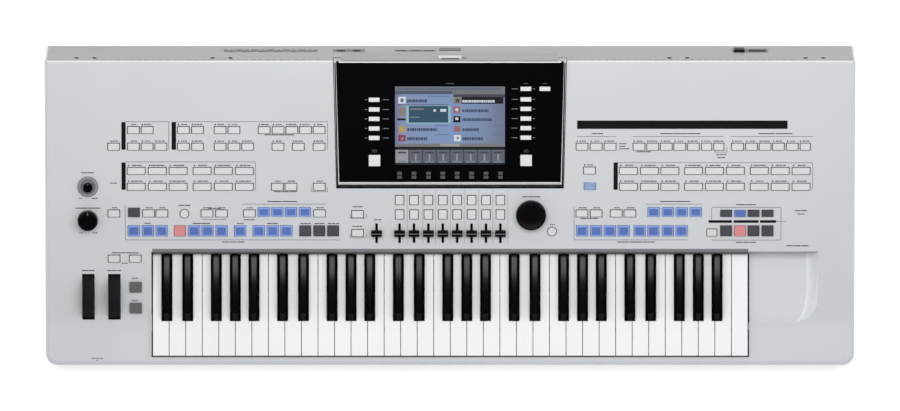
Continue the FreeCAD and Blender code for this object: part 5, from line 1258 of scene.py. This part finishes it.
    def trim_lines(self):
        """The trim's bead and dark edges, and a painted highlight along the display's rear."""
        half = self.BEAD_HALF
        face_low = DISPLAY_FACE - SUNK
        bead_v, bead_top = DISPLAY_FRONT + 4.7 * MM, DISPLAY_FACE + 0.5 * MM
        bead = Shapes().plate(0.0, bead_v, 2 * half, 2.2 * MM, face_low, bead_top, *mm(0.5, 0.3))
        bead.made("display_bead", "chrome", "display", "chrome_trim")
        edges = Shapes()
        low, high = TRIM_TOP - 0.3 * MM, TRIM_TOP + 0.08 * MM
        front = (DISPLAY_FRONT_HALF - 1.0 * MM, DISPLAY_FRONT + 1.2 * MM)
        rear = (DISPLAY_HALF + 0.4 * MM, PANEL_LENGTH - 3.0 * MM)
        for side in (-1, 1):
            edges.wire([(side * u, v) for u, v in (front, rear)], 1.9 * MM, low, high)
        foot = DISPLAY_FRONT_HALF - 1.2 * MM
        edges.bar(-foot, foot, DISPLAY_FRONT + 0.3 * MM, DISPLAY_FRONT + 2.5 * MM, low, high)
        edges.made("display_trim_edges", "ink", "display", "black_plastic")
        line_v, line_top = PANEL_LENGTH - 1.2 * MM, DISPLAY_FACE + form().print_rise
        line = Shapes().plate(0.0, line_v, 2 * half, 1.8 * MM, face_low, line_top)
        line.made("display_rear_line", "lip", "display", "chrome_trim")

    def lever_line(self):
        """The dark line along the lock lever's grip."""
        low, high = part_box("lock_lever")
        u, v, n = PANEL.inverted() @ ((Vector(low) + Vector(high)) / 2)
        grip = Shapes().plate(u, v - 1.25 * MM, *mm(25.0, 1.9), n + 2.3 * MM, n + 2.6 * MM)
        grip.made("lock_lever_line", "ink", "lock_lever", "black_plastic")


class KEYBOARD_OT_controls(bpy.types.Operator):
    """Turns and shapes the knobs, the dial, the fader caps and the wheels"""
    bl_idname = "keyboard.controls"
    bl_label = "Knobs, faders and wheels"

    SHAFT = 3.0 * MM
    SHAFT_END = -10.8 * MM
    FOOT_RISE = 0.8 * MM
    # Crowns of the knobs and the dial: share of the radius, millimetres below the top
    KNOB_CROWN = ((0.97, 2.4), (0.94, 1.0), (0.88, 0.25), (0.70, 0.0), (0.3, 0.3))
    DIAL_CROWN = ((0.975, 1.6), (0.945, 0.4), (0.90, 0.0), (0.86, 0.0), (0.84, 0.35), (0.3, 0.25))
    DIAL_RIBS = 72
    # A fader cap's outline from the side, in millimetres along the slot and above the panel
    CAP_SIDE = (
        (-4.7, 1.2), (4.7, 1.2), (4.7, 4.6), (3.5, 8.4), (2.9, 9.0), (1.5, 7.6), (0.55, 7.2), (0.55, 7.0),
        (-0.55, 7.0), (-0.55, 7.2), (-1.5, 7.6), (-2.9, 9.0), (-3.5, 8.4), (-4.7, 4.6),
    )
    # Its sections: share of the outline, millimetres across
    CAP_ENDS = ((0.93, -7.5), (1.0, -6.8), (1.0, 6.8), (0.93, 7.5))
    CAP_FOOT = 1.2
    WHEEL_COLUMNS = {"pitch_wheel": 88.1, "modulation_wheel": 114.1}
    WHEEL_ROW = 296.2
    WHEEL_DEPTH = 20.0 * MM

    def execute(self, context):
        ribs = form().knob_ribs
        self.knob("master_volume_knob", VOLUME_AT, *mm(14.6, 0.6, 13.6), ribs)
        self.knob("mic_gain_knob", GAIN_AT, *mm(7.0, 1.2, 12.2), ribs // 2)
        self.dial()
        for number, u in enumerate(FADERS, 1):
            self.fader(number, u)
        for node, column in self.WHEEL_COLUMNS.items():
            self.wheel(node, column)
        profile = (mm(10.4, 1.15), mm(14.0, 1.15), mm(13.6, 1.4), mm(10.8, 1.4))
        ring = Shapes().turned(*on_bank(*GAIN_AT), profile, 64, bored=True)
        ring.made("gain_ring", "dish_ring", "case", "dish_grey", 30)
        return {"FINISHED"}

    def spun(self, node, place, heights, radius, foot, crown, sides, ribs, depths):
        """A ribbed body on a shaft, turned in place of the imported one."""
        low, high = heights
        profile = [(self.SHAFT, self.SHAFT_END), (self.SHAFT, low)]
        profile += [(foot * radius, low), (radius, low + self.FOOT_RISE)]
        profile += [(share * radius, high - drop * MM) for share, drop in crown]
        body = Shapes().turned(*place, profile, sides, ribs, depths)
        piece = body.made(f"{node}_turned", "black", node, "black_plastic", 40)
        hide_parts(node)

    def knob(self, node, at_px, radius, low, high, ribs):
        """A ribbed knob with a crowned top and a pointer."""
        u, v = on_bank(*at_px)
        deep = 0.05 * radius
        depths = (0, 0, deep, deep, deep, 0.6 * deep, 0.2 * deep)
        self.spun(node, (u, v), (low, high), radius, 0.97, self.KNOB_CROWN, ribs * 6, ribs, depths)
        out, width, long = (share * radius for share in (0.74, 0.09, 0.24))
        mark = Shapes().plate(u, v + out, width, long, high - 0.6 * MM, high + 0.12 * MM)
        mark.made(f"{node}_pointer", "line", node, "white_button")

    def dial(self):
        """A flat dial with a finger dimple and a finely cut side."""
        u, v = on_panel(*DIAL_AT)
        radius, low, high = mm(21.5, 0.6, 9.6)
        depths = (0, 0, *mm(0.4, 0.4, 0.4, 0.2))
        ribs = self.DIAL_RIBS
        self.spun("data_dial", (u, v), (low, high), radius, 0.98, self.DIAL_CROWN, ribs * 4, ribs, depths)
        out, rim, below = mm(11.5, 5.5, 0.3)
        profile = [(share * rim, high - below + rise * MM)
                   for share, rise in ((1.0, -0.1), (1.0, 0.2), (0.93, 0.3), (0.62, 0.0), (0.35, -0.05))]
        dimple = Shapes().turned(u, v + out, profile, 48)
        dimple.made("dial_dimple", "glass", "data_dial", "black_plastic", 50)

    def fader(self, number, u):
        """A fader cap: a saddle across its middle, drawn-in sides and a stem."""
        v = middle_v(FADER_ROW)
        foot = self.CAP_FOOT
        cap = Shapes()
        cap.loft([[(u + across * MM, v + along * share * MM, (foot + (n - foot) * share) * MM)
                   for along, n in self.CAP_SIDE] for share, across in self.CAP_ENDS])
        cap.plate(u, v, *mm(1.4, 5.0), *mm(-9.4, 1.4))
        piece = cap.made(f"fader_{number}_cap", "black", f"fader_{number}", "black_plastic")
        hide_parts(f"fader_{number}")
        line = Shapes().plate(u, v, *mm(13.2, 0.7), *mm(6.9, 7.08))
        line.made(f"fader_{number}_line", "dish_ring", f"fader_{number}", "grey_pad")

    def wheel(self, node, column):
        """A wheel with fine grips round its rim."""
        v = (deck_y(self.WHEEL_ROW) - DECK_Y) / math.cos(SLOPE)
        centre = Matrix.Translation((any_u(column), v, -self.WHEEL_DEPTH))
        wheel = Shapes(PANEL @ centre @ Matrix.Rotation(math.pi / 2, 4, "Y"))
        radius, half, bore, deep, small, large = mm(36.0, 8.2, 3.05, 0.5, 0.5, 1.6)
        edge = ((bore, half), (radius - large, half), (radius - small, half - small), (radius, half - large))
        profile = [(reach, -across) for reach, across in edge] + list(reversed(edge))
        ribs = form().wheel_ribs
        wheel.turned(0, 0, profile, ribs * 6, ribs, (0, 0, deep, deep, deep, deep, 0), bored=True)
        piece = wheel.made(f"{node}_turned", "soft_black", node, "black_plastic", 40)
        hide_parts(node)


class KEYBOARD_OT_sockets(bpy.types.Operator):
    """Finishes the sockets at the back, the front and in the tray"""
    bl_idname = "keyboard.sockets"
    bl_label = "Sockets"

    SOLIDS = (("jack_sockets", "socket"), ("data_sockets", "socket"), ("power_switch", "soft_black"))
    JACKS = tuple((-307.8 + 22.0 * i) * MM for i in range(6))
    JACK_RISE = 34.0 * MM
    PHONES_COLUMN = 96.5
    PHONES_RISE = 47.0 * MM

    def execute(self, context):
        for node, tint in self.SOLIDS:
            dress_smooth(node, tint)
        rings = Shapes(REAR)
        profile = (mm(3.25, 0.02), mm(6.0, 0.02), mm(6.0, -0.7), mm(5.4, -1.0), mm(3.9, -1.0), mm(3.25, -0.6))
        for u in self.JACKS:
            rings.turned(u, self.JACK_RISE, profile, 48, bored=True)
        rings.made("jack_rings", "socket_ring", "case", "steel", 30)
        place = (-any_u(self.PHONES_COLUMN), self.PHONES_RISE)
        phones = Shapes(FRONT).washer(*place, *mm(3.25, 6.0), *mm(0.3, 0.05))
        phones.made("phones_ring", "metal", "case", "steel", 30)
        return {"FINISHED"}


class KEYBOARD_OT_insides(bpy.types.Operator):
    """Finishes what the case hides: boards, pots, supply and wheel holder"""
    bl_idname = "keyboard.insides"
    bl_label = "Insides"

    def execute(self, context):
        dress("main_board", "board")
        dress("panel_boards", "board")
        dress("power_supply", "metal")
        dress_smooth("panel_pots", "soft_black")
        dress_smooth("wheel_holder", "black")
        return {"FINISHED"}


class KEYBOARD_OT_stage(bpy.types.Operator):
    """Sets the pale floor, the soft light and the camera"""
    bl_idname = "keyboard.stage"
    bl_label = "Stage"

    FLOOR_HALF = 6.0
    LIGHT_PLACE = (0.1, 0.395, 1.75)
    LIGHT_SIZE = (2.8, 1.0)
    # The height at which the picture has its width
    PANEL_HEIGHT = 0.09
    # The sky's brightness by how steeply it is looked at: height share, grey
    SKY_STOPS = ((0.70, 1.0), (0.84, 0.02))

    def execute(self, context):
        scene = context.scene
        setting = scene.keyboard_stage
        floor = self.floor()
        camera = self.camera(setting)
        lights = [self.light("main_light", setting.key_power)]
        self.sky(scene, setting)
        scene.camera = camera
        scene.view_settings.view_transform = "Standard"
        return {"FINISHED"}

    def floor(self):
        """A wide pale floor."""
        mesh = bmesh.new()
        bmesh.ops.create_grid(mesh, x_segments=8, y_segments=8, size=self.FLOOR_HALF)
        data = bpy.data.meshes.new("floor")
        mesh.to_mesh(data)
        mesh.free()
        data.materials.append(material("floor"))
        return placed("floor", data)

    def camera(self, setting):
        """A long lens straight above the keyboard."""
        data = bpy.data.cameras.new("camera")
        data.sensor_width = 36.0
        data.lens = data.sensor_width * (setting.height - self.PANEL_HEIGHT) / setting.view_width
        data.clip_end = 50.0
        made = placed("camera", data)
        made.location = (0.0, 0.0, setting.height)
        return made

    def light(self, name, power):
        """A large soft light that hangs level over the keyboard."""
        data = bpy.data.lights.new(name, "AREA")
        data.shape = "RECTANGLE"
        data.size, data.size_y = self.LIGHT_SIZE
        data.energy = power
        made = placed(name, data)
        made.location = self.LIGHT_PLACE
        return made

    def sky(self, scene, setting):
        """Even light from all round, with a dark patch overhead that keeps the black gloss black."""
        world = bpy.data.worlds.new("studio")
        world.use_nodes = True
        nodes, links = world.node_tree.nodes, world.node_tree.links
        background = nodes["Background"]
        coords = nodes.new("ShaderNodeTexCoord")
        split = nodes.new("ShaderNodeSeparateXYZ")
        ramp = nodes.new("ShaderNodeValToRGB")
        for element, (at, grey) in zip(ramp.color_ramp.elements, self.SKY_STOPS):
            element.position = at
            element.color = (grey, grey, grey, 1.0)
        links.new(coords.outputs["Generated"], split.inputs["Vector"])
        links.new(split.outputs["Z"], ramp.inputs["Fac"])
        links.new(ramp.outputs["Color"], background.inputs["Color"])
        background.inputs["Strength"].default_value = setting.sky
        scene.world = world


STEPS = ("case", "keys", "buttons", "prints", "display", "controls", "sockets", "insides", "stage")


class KEYBOARD_PT_panel(bpy.types.Panel):
    """Lists the steps and the values that they use"""
    bl_idname = "KEYBOARD_PT_panel"
    bl_label = "Keyboard"
    bl_space_type = "VIEW_3D"
    bl_region_type = "UI"
    bl_category = "Keyboard"

    def draw(self, context):
        for step in STEPS:
            self.layout.operator(f"keyboard.{step}")
        for group in ("keyboard_form", "keyboard_finish", "keyboard_stage"):
            values = getattr(context.scene, group)
            box = self.layout.box()
            for name in values.bl_rna.properties.keys():
                if name not in ("rna_type", "name"):
                    box.prop(values, name)


CLASSES = (
    KeyboardFinish, KeyboardForm, KeyboardStage, KEYBOARD_OT_case, KEYBOARD_OT_keys, KEYBOARD_OT_buttons,
    KEYBOARD_OT_prints, KEYBOARD_OT_display, KEYBOARD_OT_controls, KEYBOARD_OT_sockets, KEYBOARD_OT_insides,
    KEYBOARD_OT_stage, KEYBOARD_PT_panel,
)


def register():
    """Adds the classes and the values to Blender."""
    for cls in CLASSES:
        bpy.utils.register_class(cls)
    bpy.types.Scene.keyboard_finish = PointerProperty(type=KeyboardFinish)
    bpy.types.Scene.keyboard_form = PointerProperty(type=KeyboardForm)
    bpy.types.Scene.keyboard_stage = PointerProperty(type=KeyboardStage)


def unregister():
    """Takes the classes and the values out of Blender."""
    del bpy.types.Scene.keyboard_stage
    del bpy.types.Scene.keyboard_form
    del bpy.types.Scene.keyboard_finish
    for cls in reversed(CLASSES):
        bpy.utils.unregister_class(cls)


def main():
    """Builds the whole scene."""
    for name in ("Cube", "Light", "Camera"):
        if name in bpy.data.objects:
            bpy.data.objects.remove(bpy.data.objects[name])
    register()
    for step in STEPS:
        getattr(bpy.ops.keyboard, step)()


if __name__ == "__main__":
    main()
